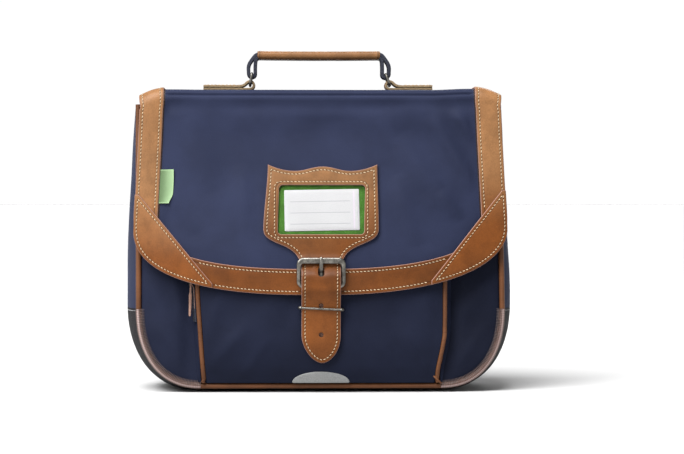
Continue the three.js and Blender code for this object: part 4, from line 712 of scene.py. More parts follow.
def plate(loops, place, low, high, radius=0.6, spacing=3.0, groove=None, bored=0):
    """A flat shape with holes on a surface: two triangulated faces joined by rounded edges.

    place gives a point from (x, z, lift), and low and high give the lifts of the two faces. The last bored loops are
    punched holes, with no seam round them and walls marked for painted shade, which the leather paints near black."""
    shell = Shell()
    loops = [turned(loop, i == 0) for i, loop in enumerate(loops)]
    low = low if callable(low) else (lambda x, z, value=low: np.full_like(x, value))
    high = high if callable(high) else (lambda x, z, value=high: np.full_like(x, value))
    rims = [offset(loop, radius) for loop in loops]
    sewn = loops[:len(loops) - bored]
    rings = [inset_line(r, groove + d, loops) for r in sewn if groove for d in (-GROOVE_HALF, 0, GROOVE_HALF)]
    flat = np.concatenate(loops)
    (x0, z0), (x1, z1) = flat.min(0), flat.max(0)
    grid = points(*np.meshgrid(np.arange(x0, x1, spacing), np.arange(z0, z1, spacing))).reshape(-1, 2)
    grid[:, 0] += np.where(np.round((grid[:, 1] - z0) / spacing) % 2 == 1, spacing / 2, 0)
    grid = grid[inside(grid, rims)]
    grid = grid[distance_to(grid, loops) > max(radius + 0.5 * spacing, (groove or 0) + 1.6)]
    spots = np.concatenate(rims + [r for r in rings if len(r)] + [grid])
    starts = np.cumsum([0] + [len(r) for r in rims])
    constraints = [
        (int(s + i), int(s + (i + 1) % len(r))) for s, r in zip(starts, rims) for i in range(len(r))
    ]
    found = delaunay_2d_cdt([Vector(p) for p in spots.tolist()], constraints, [], 0, 1e-5, True)
    flat_points = np.array([tuple(p) for p in found[0]])
    triangles = np.array(found[2])
    kept = inside(flat_points[triangles].mean(1), rims)
    triangles = triangles[kept]
    a, b, c = (flat_points[triangles[:, k]] for k in range(3))
    turn = (b[:, 0] - a[:, 0]) * (c[:, 1] - a[:, 1]) - (b[:, 1] - a[:, 1]) * (c[:, 0] - a[:, 0])
    triangles = np.where(turn[:, None] < 0, triangles[:, ::-1], triangles)[np.abs(turn) > 1e-7]
    source = np.full(len(spots), -1)
    for number, origins in enumerate(found[3]):
        source[list(origins)] = number
    x, z = flat_points.T
    edge = distance_to(flat_points, sewn)
    dip = GROOVE_DEPTH * bell(edge, groove, 0.45) if groove else 0
    top = shell.add(place(x, z, high(x, z) - dip), edge)
    bottom = shell.add(place(x, z, low(x, z)), 0.0)
    shell.faces(top[triangles], flat_points[triangles])
    shell.faces(bottom[triangles[:, ::-1]], flat_points[triangles[:, ::-1]])
    for k, (start, loop, rim) in enumerate(zip(starts, loops, rims)):
        near = offset(loop, 0.3 * radius)
        lifts = [
            (near, lambda x, z: high(x, z) - 0.3 * radius),
            (loop, lambda x, z: high(x, z) - radius),
            (loop, lambda x, z: low(x, z) + 0.5 * radius),
        ]
        rows = [top[source[start:start + len(rim)]]]
        wall = 0.0 if k < len(sewn) else SHADED_HOLE_WALL
        rows += [shell.add(place(*line.T, lift(*line.T)), wall) for line, lift in lifts]
        rows += [bottom[source[start:start + len(rim)]]]
        run = lengths(joined(loop))
        numbers = np.stack(rows)
        numbers = np.concatenate([numbers, numbers[:, :1]], axis=1)
        shell.grid(numbers, np.arange(len(rows)) * 0.5, run)
    return shell


# Stitches

def stitches(shell, line, normals, pitch, length, radius, keep=None):
    """Short threads along a line on a surface. Each is a lens that dips into its two holes."""
    run = lengths(line)
    count = max(1, int(round(run[-1] / pitch)))
    at = (np.arange(count) + 0.5) * run[-1] / count
    sample = lambda values, where: np.stack([np.interp(where, run, values[:, k]) for k in range(3)], axis=1)
    centre, reach = sample(line, at), 0.4 * length
    direction = unit(sample(line, np.minimum(at + reach, run[-1])) - sample(line, np.maximum(at - reach, 0)))
    normal = unit(sample(normals, at))
    if keep is not None:
        kept = keep(centre)
        centre, direction, normal = centre[kept], direction[kept], normal[kept]
    if not len(centre):
        return
    direction = unit(direction + STITCH_SLANT * np.cross(direction, normal))
    side = np.cross(direction, normal)
    t = np.array([-1, -0.86, -0.45, 0, 0.45, 0.86, 1])
    girth = np.array([0.35, 0.72, 0.98, 1.0, 0.98, 0.72, 0.35]) * radius
    rise = radius * (0.55 - np.abs(t) ** 4)
    angle = circle(6)
    shell.tubes(
        centre[:, None, None]
        + (t * length / 2)[None, :, None, None] * direction[:, None, None]
        + (girth[:, None] * np.cos(angle))[None, :, :, None] * side[:, None, None]
        + (rise[:, None] + girth[:, None] * np.sin(angle))[None, :, :, None] * normal[:, None, None]
    )


def sewing(look):
    return look.stitch_pitch, look.stitch_length, look.thread / 2


def flat_stitches(shell, loop, place, lift, look):
    """Stitches along a closed line of (x, z) on a surface, with the normal from a step off it."""
    line = resample(joined(loop), spacing=1.0)
    heights = lift(line[:, 0], line[:, 1]) if callable(lift) else lift
    low = place(line[:, 0], line[:, 1], heights)
    normal = unit(place(line[:, 0], line[:, 1], heights + 1.0) - low)
    stitches(shell, low, normal, *sewing(look))


# Materials

class Value:
    """A socket of a material. Sums on it add the Math nodes that they need."""

    def __init__(self, paint, socket):
        self.paint, self.socket = paint, socket

    def math(self, operation, *others):
        return self.paint.node("Math", {"operation": operation}, dict(enumerate((self, *others))))

    def __add__(self, other): return self.math("ADD", other)
    def __radd__(self, other): return self.math("ADD", other)
    def __sub__(self, other): return self.math("SUBTRACT", other)
    def __rsub__(self, other): return self.paint.node("Math", {"operation": "SUBTRACT"}, {0: other, 1: self})
    def __mul__(self, other): return self.math("MULTIPLY", other)
    def __rmul__(self, other): return self.math("MULTIPLY", other)
    def __truediv__(self, other): return self.math("DIVIDE", other)
    def sine(self): return self.math("SINE")
    def most(self, other): return self.math("MAXIMUM", other)
    def below(self, other): return self.math("LESS_THAN", other)
    def size(self): return self.math("ABSOLUTE")

    def ramp(self, low, high, start=0.0, end=1.0):
        """A smooth change from start to end while the value goes from low to high."""
        return self.paint.node(
            "MapRange", {"interpolation_type": "SMOOTHSTEP"},
            {"Value": self, "From Min": low, "From Max": high, "To Min": start, "To Max": end},
        )


class Paint:
    """A material in the making."""

    def __init__(self, name):
        self.material = bpy.data.materials.new(name)
        self.material.use_nodes = True
        self.tree = self.material.node_tree
        self.tree.nodes.clear()

    def feed(self, socket, value):
        if isinstance(value, Value):
            self.tree.links.new(value.socket, socket)
        elif socket.type == "RGBA" and len(value) == 3:
            socket.default_value = (*value, 1.0)
        else:
            socket.default_value = value

    def node(self, kind, settings=(), inputs=(), output=0):
        node = self.tree.nodes.new("ShaderNode" + kind)
        for key, value in dict(settings).items():
            setattr(node, key, value)
        for key, value in dict(inputs).items():
            self.feed(node.inputs[key], value)
        return Value(self, node.outputs[output])

    def coordinates(self, uv=False):
        return self.node("TexCoord", output="UV" if uv else "Object")

    def axes(self, vector):
        made = self.node("SeparateXYZ", {}, {"Vector": vector})
        return [Value(self, socket) for socket in made.socket.node.outputs]

    def noise(self, vector, scale, detail=3.0, roughness=0.5):
        inputs = {"Vector": vector, "Scale": scale, "Detail": detail, "Roughness": roughness}
        return self.node("TexNoise", {}, inputs)

    def cells(self, vector, scale, feature="F1"):
        return self.node("TexVoronoi", {"feature": feature}, {"Vector": vector, "Scale": scale})

    def stretched(self, vector, scale):
        return self.node("Mapping", {}, {"Vector": vector, "Scale": scale})

    def edge(self):
        """Millimetres from the piece's cut edge."""
        return self.node("Attribute", {"attribute_name": "edge"}, output="Fac")

    def mix(self, factor, a, b, blend="MIX"):
        node = self.tree.nodes.new("ShaderNodeMix")
        node.data_type, node.blend_type = "RGBA", blend
        for key, value in ((0, factor), (6, a), (7, b)):
            self.feed(node.inputs[key], value)
        return Value(self, node.outputs[2])

    def tones(self, factor, colour, low, high):
        """From one shade of a colour to another."""
        return self.mix(factor, shade(colour, low), shade(colour, high))

    def dimmed(self, colour, share):
        return self.mix(1.0, colour, (share,) * 3, "MULTIPLY")

    def bump(self, height, distance, strength=1.0, after=None):
        inputs = {"Height": height, "Distance": distance, "Strength": strength}
        if after is not None:
            inputs["Normal"] = after
        return self.node("Bump", {}, inputs)

    def finish(self, **sockets):
        shader = self.node("BsdfPrincipled", {}, {k.replace("_", " "): v for k, v in sockets.items()})
        output = self.tree.nodes.new("ShaderNodeOutputMaterial")
        self.tree.links.new(shader.socket, output.inputs["Surface"])
        return self.material


def shade(colour, factor):
    return tuple(c * factor for c in colour)


def nylon(name, colour, left=1.0, right=1.0, slope=0.35):
    """Fine woven cloth: crossed threads, broad mottling and a faint sheen, with painted shade that can differ from the
    bag's left side to its right.
    """
    p = Paint(name)
    spot = p.coordinates(uv=True)
    u, v, _ = p.axes(spot)
    thread = ((u * 6600.0).sine() * (v * 6600.0).sine()).ramp(-1.0, 1.0)
    fleck = p.noise(spot, 900.0, 2.0)
    broad = p.noise(p.coordinates(), 22.0, 4.0, 0.55)
    across, _, _ = p.axes(p.coordinates())
    # Painted shade: the colour is scaled by left on the bag's left and by right on its right.
    side_shaded = p.tones(across.ramp(-0.13, 0.13), colour, 1.14 * left, 1.14 * right)
    base = p.mix(broad.ramp(0.3, 0.7), p.dimmed(side_shaded, 0.77), side_shaded)
    base = p.mix((thread * 0.5 + fleck.ramp(0.3, 0.7) * 0.5), p.dimmed(base, 0.86), base)
    relief = p.bump(thread * 0.6 + fleck * 0.6, 0.00012, slope)
    relief = p.bump(p.noise(p.coordinates(), 120.0, 3.0), 0.0006, 0.22, relief)
    return p.finish(
        Base_Color=base, Roughness=broad.ramp(0.2, 0.8, 0.56, 0.7), Normal=relief,
        Specular_IOR_Level=0.06, Sheen_Weight=0.02, Sheen_Roughness=0.4, Sheen_Tint=(0.5, 0.6, 1.0, 1.0),
    )


def wear_cloth(name, colour):
    """Coarse coated weave: raised cells with a painted highlight in pale on their tops."""
    p = Paint(name)
    spot = p.coordinates(uv=True)
    u, v, _ = p.axes(spot)
    weave = ((u * 3300.0 + v * 1700.0).sine() * (v * 3300.0 - u * 1700.0).sine()).ramp(-1.0, 1.0)
    grit = p.noise(spot, 700.0, 3.0, 0.7)
    height = weave * 0.7 + grit * 0.5
    # Painted highlight: the raised tops of the weave are much paler.
    base = p.tones(height.ramp(0.62, 0.98), colour, 0.42, 3.6)
    relief = p.bump(height, 0.0005, 0.8)
    return p.finish(Base_Color=base, Roughness=height.ramp(0.3, 0.9, 0.85, 0.6), Normal=relief, Specular_IOR_Level=0.15)


def leather(name, colour, golden, warm, cut, rough=0.42, grain=0.3):
    """Smooth tanned leather: pores, mottled dye, darker at the seams, with pale cut edges.

    Its tan carries painted light: lighter and golden on the upper trim, more so towards the left where the light falls,
    browner at the flap's edge, and a lighter, warmer copy on the hanging strap, whose lowest part is darkened as
    painted shade."""
    p = Paint(name)
    spot = p.coordinates()
    edge = p.edge()
    across, _, height = p.axes(spot)
    drift = p.noise(spot, 17.0, 3.0, 0.55)
    blotch = p.noise(spot, 60.0, 4.0, 0.62)
    # Painted highlight: towards the top of the bag, and more so on its left, the tan turns to the lit colour.
    top_light = (height + (drift - 0.5) * 0.05 - across * 0.1).ramp(0.112, 0.2)
    # Painted light: low on the bag, where the strap hangs, the tan turns to a lighter, warmer copy.
    hanging = height.ramp(0.07, 0.105, 1.0, 0.0)
    tan = p.mix(top_light, p.mix(hanging, colour, warm), golden)
    broad = p.noise(spot, 28.0, 4.0, 0.6)
    cloud = p.noise(p.stretched(spot, (1.0, 1.0, 0.45)), 75.0, 3.0, 0.6)
    pores = p.cells(spot, 1500.0)
    fine = p.noise(spot, 1100.0, 3.0, 0.6)
    darker = lambda factor, depth, under: p.mix(factor, under, p.dimmed(under, depth))
    base = darker(broad.ramp(0.35, 0.7, 0.0, 0.8), 0.78, tan)
    # Painted shade: the leather darkens towards the bottom, over the lowest part of the hanging strap.
    base = darker(height.ramp(0.035, 0.066, 0.8, 0.0), 0.74, base)
    base = darker(blotch.ramp(0.42, 0.68, 0.0, 0.7), 0.72, base)
    base = darker(cloud.ramp(0.45, 0.75, 0.0, 0.5), 0.7, base)
    base = darker(fine.ramp(0.35, 0.7, 0.0, 0.4), 0.6, base)
    base = darker((edge - 2.9).size().ramp(0.25, 0.95, 0.75, 0.0), 0.42, base)
    base = darker(edge.ramp(0.6, 1.5, 0.6, 0.0), 0.55, base)
    fibre = p.noise(spot, 2400.0, 2.0)
    raw = p.mix(fibre.ramp(0.3, 0.7), shade(cut, 0.72), cut)
    at_cut = edge.ramp(0.05, 0.6, 1.0, 0.0)
    base = p.mix(at_cut, base, raw)
    # Painted shade: walls marked as punched holes are near black.
    base = p.mix(edge.ramp(-1.5, -0.6, 1.0, 0.0), base, shade(colour, 0.08))
    relief = p.bump(pores.ramp(0.0, 0.5) * 0.5 + fine * 0.5, 0.00016, grain)
    relief = p.bump(cloud, 0.0008, 0.2, relief)
    gloss = broad.ramp(0.25, 0.75, rough - 0.05, rough + 0.09) + at_cut * 0.3
    return p.finish(Base_Color=base, Roughness=gloss, Normal=relief, Specular_IOR_Level=0.13)


def suede(name, colour, cut):
    """Leather seen at its fibrous cut edge: pale, matt and fuzzy."""
    p = Paint(name)
    spot = p.coordinates()
    fibre = p.noise(p.stretched(spot, (0.5, 1.0, 2.0)), 900.0, 4.0, 0.7)
    broad = p.noise(spot, 160.0, 3.0)
    raw = p.tones(fibre.ramp(0.3, 0.72), cut, 0.5, 1.15)
    raw = p.mix(broad.ramp(0.4, 0.7, 0.0, 0.4), raw, shade(cut, 0.62))
    smooth = p.tones(broad.ramp(0.3, 0.7), colour, 0.85, 1.15)
    edge = p.edge().ramp(0.05, 0.5)
    base = p.mix(edge, raw, smooth)
    return p.finish(
        Base_Color=base, Roughness=edge.ramp(0.0, 1.0, 0.92, 0.5),
        Normal=p.bump(fibre, 0.0005, 0.7), Specular_IOR_Level=0.25,
    )


def cord_leather(name, colour):
    """Leather drawn tightly round a cord: fine cross creases along it."""
    p = Paint(name)
    spot = p.coordinates(uv=True)
    crease = p.noise(p.stretched(spot, (1.0, 0.12, 1.0)), 700.0, 3.0, 0.6)
    broad = p.noise(p.coordinates(), 45.0, 3.0)
    base = p.tones(broad.ramp(0.3, 0.7), colour, 0.78, 1.1)
    base = p.mix(crease.ramp(0.45, 0.75, 0.0, 0.45), base, shade(colour, 0.5))
    return p.finish(Base_Color=base, Roughness=0.46, Normal=p.bump(crease, 0.0003, 0.5), Specular_IOR_Level=0.2)


def ribbed_cord(name, colour, pale):
    """The corner binding: ribs across a cord, brown towards the panel, with a painted highlight in pale on its outer
    face.
    """
    p = Paint(name)
    spot = p.coordinates(uv=True)
    u, _, _ = p.axes(spot)
    # Painted highlight: a pale stripe where the cord faces outwards.
    outer = p.edge().ramp(0.5, 0.6) * p.edge().ramp(0.78, 0.9, 1.0, 0.0)
    rib = (u * 4100.0 + p.noise(spot, 500.0, 2.0) * 2.0).sine().ramp(-0.8, 0.9)
    grit = p.noise(spot, 900.0, 3.0, 0.7)
    dark = p.tones(rib, colour, 0.3, 1.15)
    light = p.tones(rib * 0.6 + grit * 0.4, pale, 0.55, 1.15)
    base = p.mix(outer, dark, light)
    relief = p.bump(rib * 0.8 + grit * 0.3, 0.0004, 0.8)
    return p.finish(Base_Color=base, Roughness=0.48, Normal=relief, Specular_IOR_Level=0.5)


def thread(name, colour):
    """Waxed sewing thread, a little uneven in tone."""
    p = Paint(name)
    tone = p.noise(p.coordinates(), 320.0, 3.0)
    twist = p.noise(p.coordinates(), 3500.0, 2.0)
    base = p.mix(tone.ramp(0.35, 0.7), shade(colour, 0.7), colour)
    return p.finish(Base_Color=base, Roughness=0.6, Normal=p.bump(twist, 0.0001, 0.5), Specular_IOR_Level=0.3)


def nickel(name, colour):
    """Antique nickel: darkened in patches, lightly brushed, brighter where it is rubbed."""
    p = Paint(name)
    spot = p.coordinates()
    patina = p.noise(spot, 190.0, 4.0, 0.65)
    scratch = p.noise(p.stretched(spot, (1.0, 6.0, 6.0)), 900.0, 3.0)
    base = p.tones(patina.ramp(0.35, 0.7), colour, 0.42, 1.15)
    base = p.mix(scratch.ramp(0.5, 0.8, 0.0, 0.3), base, shade(colour, 1.5))
    gloss = patina.ramp(0.3, 0.75, 0.42, 0.24) + scratch * 0.06
    relief = p.bump(patina + scratch * 0.4, 0.0001, 0.35)
    return p.finish(Base_Color=base, Metallic=0.92, Roughness=gloss, Normal=relief)


def webbing(name, colour):
    """Flat woven band: herringbone ribs along it."""
    p = Paint(name)
    spot = p.coordinates(uv=True)
    u, v, _ = p.axes(spot)
    zigzag = ((v * 1250.0).sine() * 1.6 + u * 5200.0).sine().ramp(-0.9, 0.9)
    fuzz = p.noise(spot, 1200.0, 2.0)
    base = p.tones(zigzag * 0.6 + fuzz * 0.4, colour, 0.55, 1.25)
    relief = p.bump(zigzag + fuzz * 0.4, 0.0003, 0.7)
    return p.finish(Base_Color=base, Roughness=0.8, Normal=relief, Specular_IOR_Level=0.25)


def reflective(name, colour):
    """Grey reflective film with a fine honeycomb of sealed cells."""
    p = Paint(name)
    spot = p.coordinates(uv=True)
    comb = p.cells(spot, 620.0, "DISTANCE_TO_EDGE").ramp(0.02, 0.12)
    broad = p.noise(spot, 90.0, 3.0)
    base = p.mix(comb, shade(colour, 0.8), colour)
    base = p.mix(broad.ramp(0.4, 0.7, 0.0, 0.25), base, shade(colour, 0.82))
    return p.finish(Base_Color=base, Roughness=0.38, Metallic=0.15, Normal=p.bump(comb, 0.0001, 0.3))


def printed_card(name, paper, ink, margin):
    """White card with ruled writing lines and a fine margin line."""
    p = Paint(name)
    x, z, _ = p.axes(p.coordinates(uv=True))
    dx, dz = x * 1000.0, z * 1000.0
    fibre = p.noise(p.coordinates(), 1500.0, 3.0)
    base = p.mix(fibre.ramp(0.3, 0.7, 0.0, 0.25), paper, shade(paper, 0.93))
    across = (dx + 1.5).size().below(CARD_WIDTH / 2 - 6.5)
    lines = None
    for height in (7.6, -2.1, -11.8):
        rule = (dz - height).size().ramp(0.1, 0.42, 1.0, 0.0) * across
        lines = rule if lines is None else lines.most(rule)
    base = p.mix(lines * 0.62, base, ink)
    edge = (dx - (CARD_WIDTH / 2 - 4.6)).size().ramp(0.2, 0.9, 0.35, 0.0) * dz.size().below(CARD_HEIGHT / 2 - 1.5)
    base = p.mix(edge, base, margin)
    return p.finish(Base_Color=base, Roughness=0.55, Normal=p.bump(fibre, 0.00005, 0.3))


def plain_card(name, colour):
    """Printed card of one colour, a little uneven."""
    p = Paint(name)
    tone = p.noise(p.coordinates(), 120.0, 4.0)
    base = p.tones(tone.ramp(0.3, 0.7), colour, 0.8, 1.2)
    return p.finish(Base_Color=base, Roughness=0.6, Normal=p.bump(tone, 0.0002, 0.2), Specular_IOR_Level=0.05)


def ribbon(name, colour):
    """Woven ribbon: fine cross ribs and paler selvedges, darkened towards the edge by the band as painted shade."""
    p = Paint(name)
    spot = p.coordinates(uv=True)
    _, v, _ = p.axes(spot)
    rib = (v * 9000.0).sine().ramp(-1.0, 1.0)
    tone = p.noise(spot, 240.0, 3.0)
    rim = p.edge().ramp(0.6, 1.5, 0.55, 0.0)
    pale = tuple(min(1.0, c * 1.1 + 0.1) for c in colour)
    # Painted shade: darker towards the edge that goes under the band.
    shaded_tint = p.mix(v.ramp(0.0, 0.0125), shade(colour, 0.5), pale)
    base = p.mix(rib * 0.5 + tone * 0.5, p.dimmed(shaded_tint, 0.75), shaded_tint)
    base = p.mix(rim, base, pale)
    return p.finish(Base_Color=base, Roughness=0.55, Normal=p.bump(rib, 0.0002, 0.5), Sheen_Weight=0.3)


def clear_film(name):
    """Thin clear plastic: nearly all of it lets the card through, with soft reflections."""
    p = Paint(name)
    wave = p.noise(p.coordinates(), 30.0, 2.0)
    return p.finish(
        Base_Color=(0.02, 0.02, 0.02), Roughness=wave.ramp(0.3, 0.7, 0.12, 0.2), Alpha=wave.ramp(0.3, 0.7, 0.02, 0.035),
        Normal=p.bump(wave, 0.0006, 0.35),
    )


def stage_paint(name, colour):
    """Matt studio paper."""
    p = Paint(name)
    tone = p.noise(p.coordinates(), 3.0, 2.0)
    return p.finish(Base_Color=p.mix(tone, shade(colour, 0.99), colour), Roughness=0.9)


FINISHES = {}


def finishes(context):
    """Every finish by its plain name: its material and the record's slot. They are made once."""
    c = context.scene.ransel_colours
    tan, highlight_tan = c.leather, c.golden
    table = {
        "nylon": (nylon, "navy nylon", "navy_cloth", c.nylon),
        # Painted shade: the pocket's nylon is a darker copy of the navy, the front's is darker too and darkest on the
        # right, and the flap is a little darker on its right.
        "pocket": (nylon, "navy nylon of the pocket", "navy_cloth", shade(c.nylon, 0.52)),
        "front": (nylon, "navy nylon of the front", "navy_cloth", c.nylon, 0.62, 0.36),
        "flap": (nylon, "navy nylon of the flap", "navy_cloth", c.nylon, 1.0, 0.92),
        "wear": (wear_cloth, "black wear cloth", "wear_cloth", c.wear_cloth),
        # Painted light: the upper trim turns to a lighter, golden copy of the tan and the hanging strap to a lighter,
        # warmer one; the bands' own tan is a lighter copy too.
        "leather": (leather, "tan leather", "tan_leather", tan, shade(highlight_tan, 0.8), c.warm, c.cut_edge),
        "band": (leather, "golden leather", "tan_leather", shade(tan, 1.35), highlight_tan, c.warm, c.cut_edge),
        "pull": (suede, "pale pull leather", "tan_leather", (0.2, 0.115, 0.085), (0.3, 0.2, 0.16)),
        # Painted shadow: the near-black strip that shows beside the side bands.
        "backing": (suede, "dark backing", "tan_leather", shade(tan, 0.12), shade(tan, 0.12)),
        "suede": (suede, "tan leather with raw edges", "suede_leather", tan, c.suede),
        "cord": (cord_leather, "leather over cord", "tan_leather", c.cord),
        "corner": (ribbed_cord, "corner binding", "corner_cord", c.corner, c.corner_pale),
        "stitch": (thread, "cream thread", None, c.stitch),
        "dark_stitch": (thread, "navy thread", None, shade(c.nylon, 0.8)),
        "pale_stitch": (thread, "pale thread", None, c.pale_stitch),
        "binding_stitch": (thread, "binding thread", None, shade(c.corner_pale, 0.42)),
        "metal": (nickel, "antique nickel", "antique_nickel", c.metal),
        "webbing": (webbing, "webbing", "webbing", c.webbing),
        "zip": (webbing, "zip tape", "zip_tape", (0.02, 0.022, 0.035)),
        "reflector": (reflective, "reflective film", "reflective_film", c.reflector),
        "tag": (ribbon, "green ribbon", "tag_ribbon", c.tag),
        "card_frame": (plain_card, "green card", "green_card", c.card_border),
        "name_card": (printed_card, "name card", "white_card", c.card, (0.16, 0.16, 0.18), (0.5, 0.36, 0.52)),
        "card_film": (clear_film, "clear film", "clear_film"),
        "paper": (stage_paint, "studio paper", None, (0.42, 0.42, 0.42)),
    }
    if not FINISHES:
        FINISHES.update({key: (maker(name, *values), slot) for key, (maker, name, slot, *values) in table.items()})
    return FINISHES


# Settings

def colour(label, description, value):
    return FloatVectorProperty(
        name=label, description=description, default=value, size=3, min=0.0, max=1.0, subtype="COLOR",
    )


def size(label, description, value, low, high):
    return FloatProperty(name=label, description=description, default=value, min=low, max=high)


class RanselSizes(bpy.types.PropertyGroup):
    """Sizes of the small work, in millimetres."""

    stitch_pitch: size("Stitch pitch", "One stitch to the next", 3.2, 1.5, 9.0)
    stitch_length: size("Stitch length", "Length of a stitch", 2.2, 0.8, 8.0)
    thread: size("Thread", "Thickness of the sewing thread", 0.7, 0.2, 2.0)
    seam_inset: size("Seam inset", "Trim's edge to its stitching", 2.9, 1.0, 6.0)
    wrinkle: size("Wrinkles", "Depth of the cloth's folds", 1.0, 0.0, 3.0)
    fineness: IntProperty(
        name="Fineness", description="Rows of points down the flap's front", default=110, min=20, max=300,
    )


class RanselColours(bpy.types.PropertyGroup):
    """Colours of the finishes."""

    nylon: colour("Nylon", "Navy cloth of the body and flap", (0.0155, 0.0195, 0.0425))
    wear_cloth: colour("Wear cloth", "Black cloth of the lower corners", (0.0088, 0.0086, 0.0098))
    leather: colour("Leather", "Face of the tan trim", (0.108, 0.0325, 0.006))
    # Painted highlight: the lit colour that the upper trim turns to.
    golden: colour("Golden leather", "Face of the upper trim", (0.235, 0.112, 0.045))
    # Painted light: the lighter, warmer copy of the tan on the hanging strap.
    warm: colour("Warm leather", "Face of the hanging strap", (0.185, 0.058, 0.0125))
    cut_edge: colour("Cut edge", "Raw edge of the trim", (0.26, 0.14, 0.105))
    suede: colour("Raw leather", "Edge of the handle's tabs", (0.21, 0.15, 0.085))
    cord: colour("Cord", "Leather drawn over the seam cords", (0.1, 0.037, 0.0135))
    corner: colour("Corner binding", "Inner side of the corner cord", (0.085, 0.038, 0.026))
    corner_pale: colour("Corner highlight", "Outer side of the corner cord", (0.27, 0.19, 0.175))
    stitch: colour("Stitches", "Cream thread on the leather", (0.48, 0.36, 0.23))
    pale_stitch: colour("Pale stitches", "White thread over the wear cloth", (0.42, 0.42, 0.43))
    metal: colour("Metal", "Antique nickel fittings", (0.19, 0.18, 0.16))
    webbing: colour("Webbing", "Loops and carrying webbing", (0.018, 0.02, 0.032))
    reflector: colour("Reflector", "Reflective half disc", (0.22, 0.224, 0.222))
    tag: colour("Side tag", "Green ribbon", (0.095, 0.2, 0.05))
    card_border: colour("Card border", "Green border round the card", (0.034, 0.098, 0.014))
    card: colour("Card", "White name card", (0.335, 0.335, 0.34))


def kit(context):
    return context.scene.ransel_sizes, finishes(context)


# Body

def gusset_grid(run, across, lift):
    """The gusset: a belly between the two seams that lies flat where it meets the floor."""
    x, z, nx, nz = (a[:, None] for a in seam_at(run))
    v = across[None, :]
    belly = body_belly(z) * np.where(x > 0, 0.86, 1.0) * (1 - np.abs(2 * v - 1) ** 2.4) + lift
    front = front_seam(z) + PIPING_RADIUS + CLEARANCE
    back = BACK_SEAM - PIPING_RADIUS - CLEARANCE
    floor = np.maximum(-np.minimum(lift, 0), 0)
    return points(x + nx * belly, lerp(front, back, v), np.maximum(floor, z + nz * belly))


def gusset_wrinkles(run, across, depth):
    """Soft upright folds down the sides, fading to the two seams and the floor."""
    a, r = np.meshgrid(across * 100, np.abs(run))
    fade = (1 - np.abs(2 * across - 1) ** 3)[None, :] * ease(np.abs(run), 190, 250)[:, None]
    side = np.where(run < 0, 3.0, 11.0)[:, None]
    waves = ripples(a + side * 40, r, 55, 130, 21, angle=0.15, spread=0.9)
    return depth * fade * waves


def make_gussets(context):
    look, finish = kit(context)
    across = (1 - np.cos(np.linspace(0, math.pi, 31))) / 2
    parts = [("base_gusset", "dressed_base", np.linspace(-BASE_REACH, BASE_REACH, 201), "wear")]
    for name, sign in SIDES:
        run = np.linspace(sign * (BASE_REACH + CLEARANCE), sign * SEAM_LENGTH, 60)
        parts.append((f"side_gusset_{name}", f"dressed_side_{name}", run, "nylon"))
    for node, name, run, cloth in parts:
        rise = gusset_wrinkles(run, across, 0.9 * look.wrinkle)
        shell = sheet_shell(
            gusset_grid(run, across, rise), gusset_grid(run, across, -PANEL_WALL), run, across * BODY_DEPTH,
        )
        piece = shell.dress(node, finish[cloth], name)
    seams = Shell()
    for _, sign in SIDES:
        run = np.full(2, sign * (BASE_REACH - BASE_STITCH_DROP))
        line = gusset_grid(run, across[1:-1], SEWN_LIFT)[0]
        out = gusset_grid(run, across[1:-1], SEWN_LIFT + 1)[0]
        stitches(seams, line, out - line, *BASE_STITCH)
    seams.build("base_stitches", finish["pale_stitch"])


def panel_outline(top, inset):
    reach = seam_length_at(top)
    x, z, nx, nz = seam_at(np.linspace(-reach, reach, 260))
    edge = points(x - nx * inset, z - nz * inset)
    upper = resample(points([edge[-1, 0], edge[0, 0]], [top, top]), spacing=3.0)
    return np.concatenate([resample(edge, spacing=2.6), upper[1:-1]])


def make_panels(context):
    look, finish = kit(context)
    inset = PIPING_RADIUS + CLEARANCE

    outline = panel_outline(FRONT_TOP, inset)
    place = lambda x, z, lift: points(x, front_seam(z) - PANEL_WALL / 2 - lift + PANEL_WALL, z)

    def puff(x, z):
        gap = distance_to(np.stack([x, z], axis=1), [turned(outline)])
        swell = (1 - np.exp(-gap / 9)) * lerp(2.6, 1.0, ease(z, 92, 128)) - 0.6 * np.exp(-gap / 2)
        near_pocket = ease(np.abs(x), POCKET_HALF_WIDTH + 3, POCKET_HALF_WIDTH + 16)
        waves = ripples(x, z, 34, 90, 5) * 0.35 * look.wrinkle * ease(130 - z, 0, 30)
        creases = look.wrinkle * folds(x, z, FRONT_FOLDS)
        return PANEL_WALL + (swell + waves + creases) * lerp(0.25, 1.0, near_pocket)

    piece = plate([outline], place, 0.0, puff, radius=0.8, spacing=3.0).dress("front_panel", finish["front"])

    outline = panel_outline(BACK_TOP, inset)
    place = lambda x, z, lift: points(x, BACK_FACE - PANEL_WALL + lift, z)

    def quilt(x, z):
        """Three padded fields between sewn channels, clear of the leather that is sewn on."""
        gap = distance_to(np.stack([x, z], axis=1), [turned(outline)])
        channel = sum(bell(x, c, 2.6) for c in (-112, 0, 112))
        return PANEL_WALL - 0.5 * np.exp(-gap / 3) - 1.0 * channel * ease(z, 10, 30) * ease(205 - z, 0, 20)

    piece = plate([outline], place, 0.0, quilt, radius=0.8, spacing=3.2).dress("back_panel", finish["nylon"])


def seam_line(start, end, y, spacing=2.0):
    run = np.linspace(start, end, max(8, int(abs(end - start) / spacing)))
    x, z, nx, nz = seam_at(run)
    return points(x, y(z), z), points(nx, 0, nz)


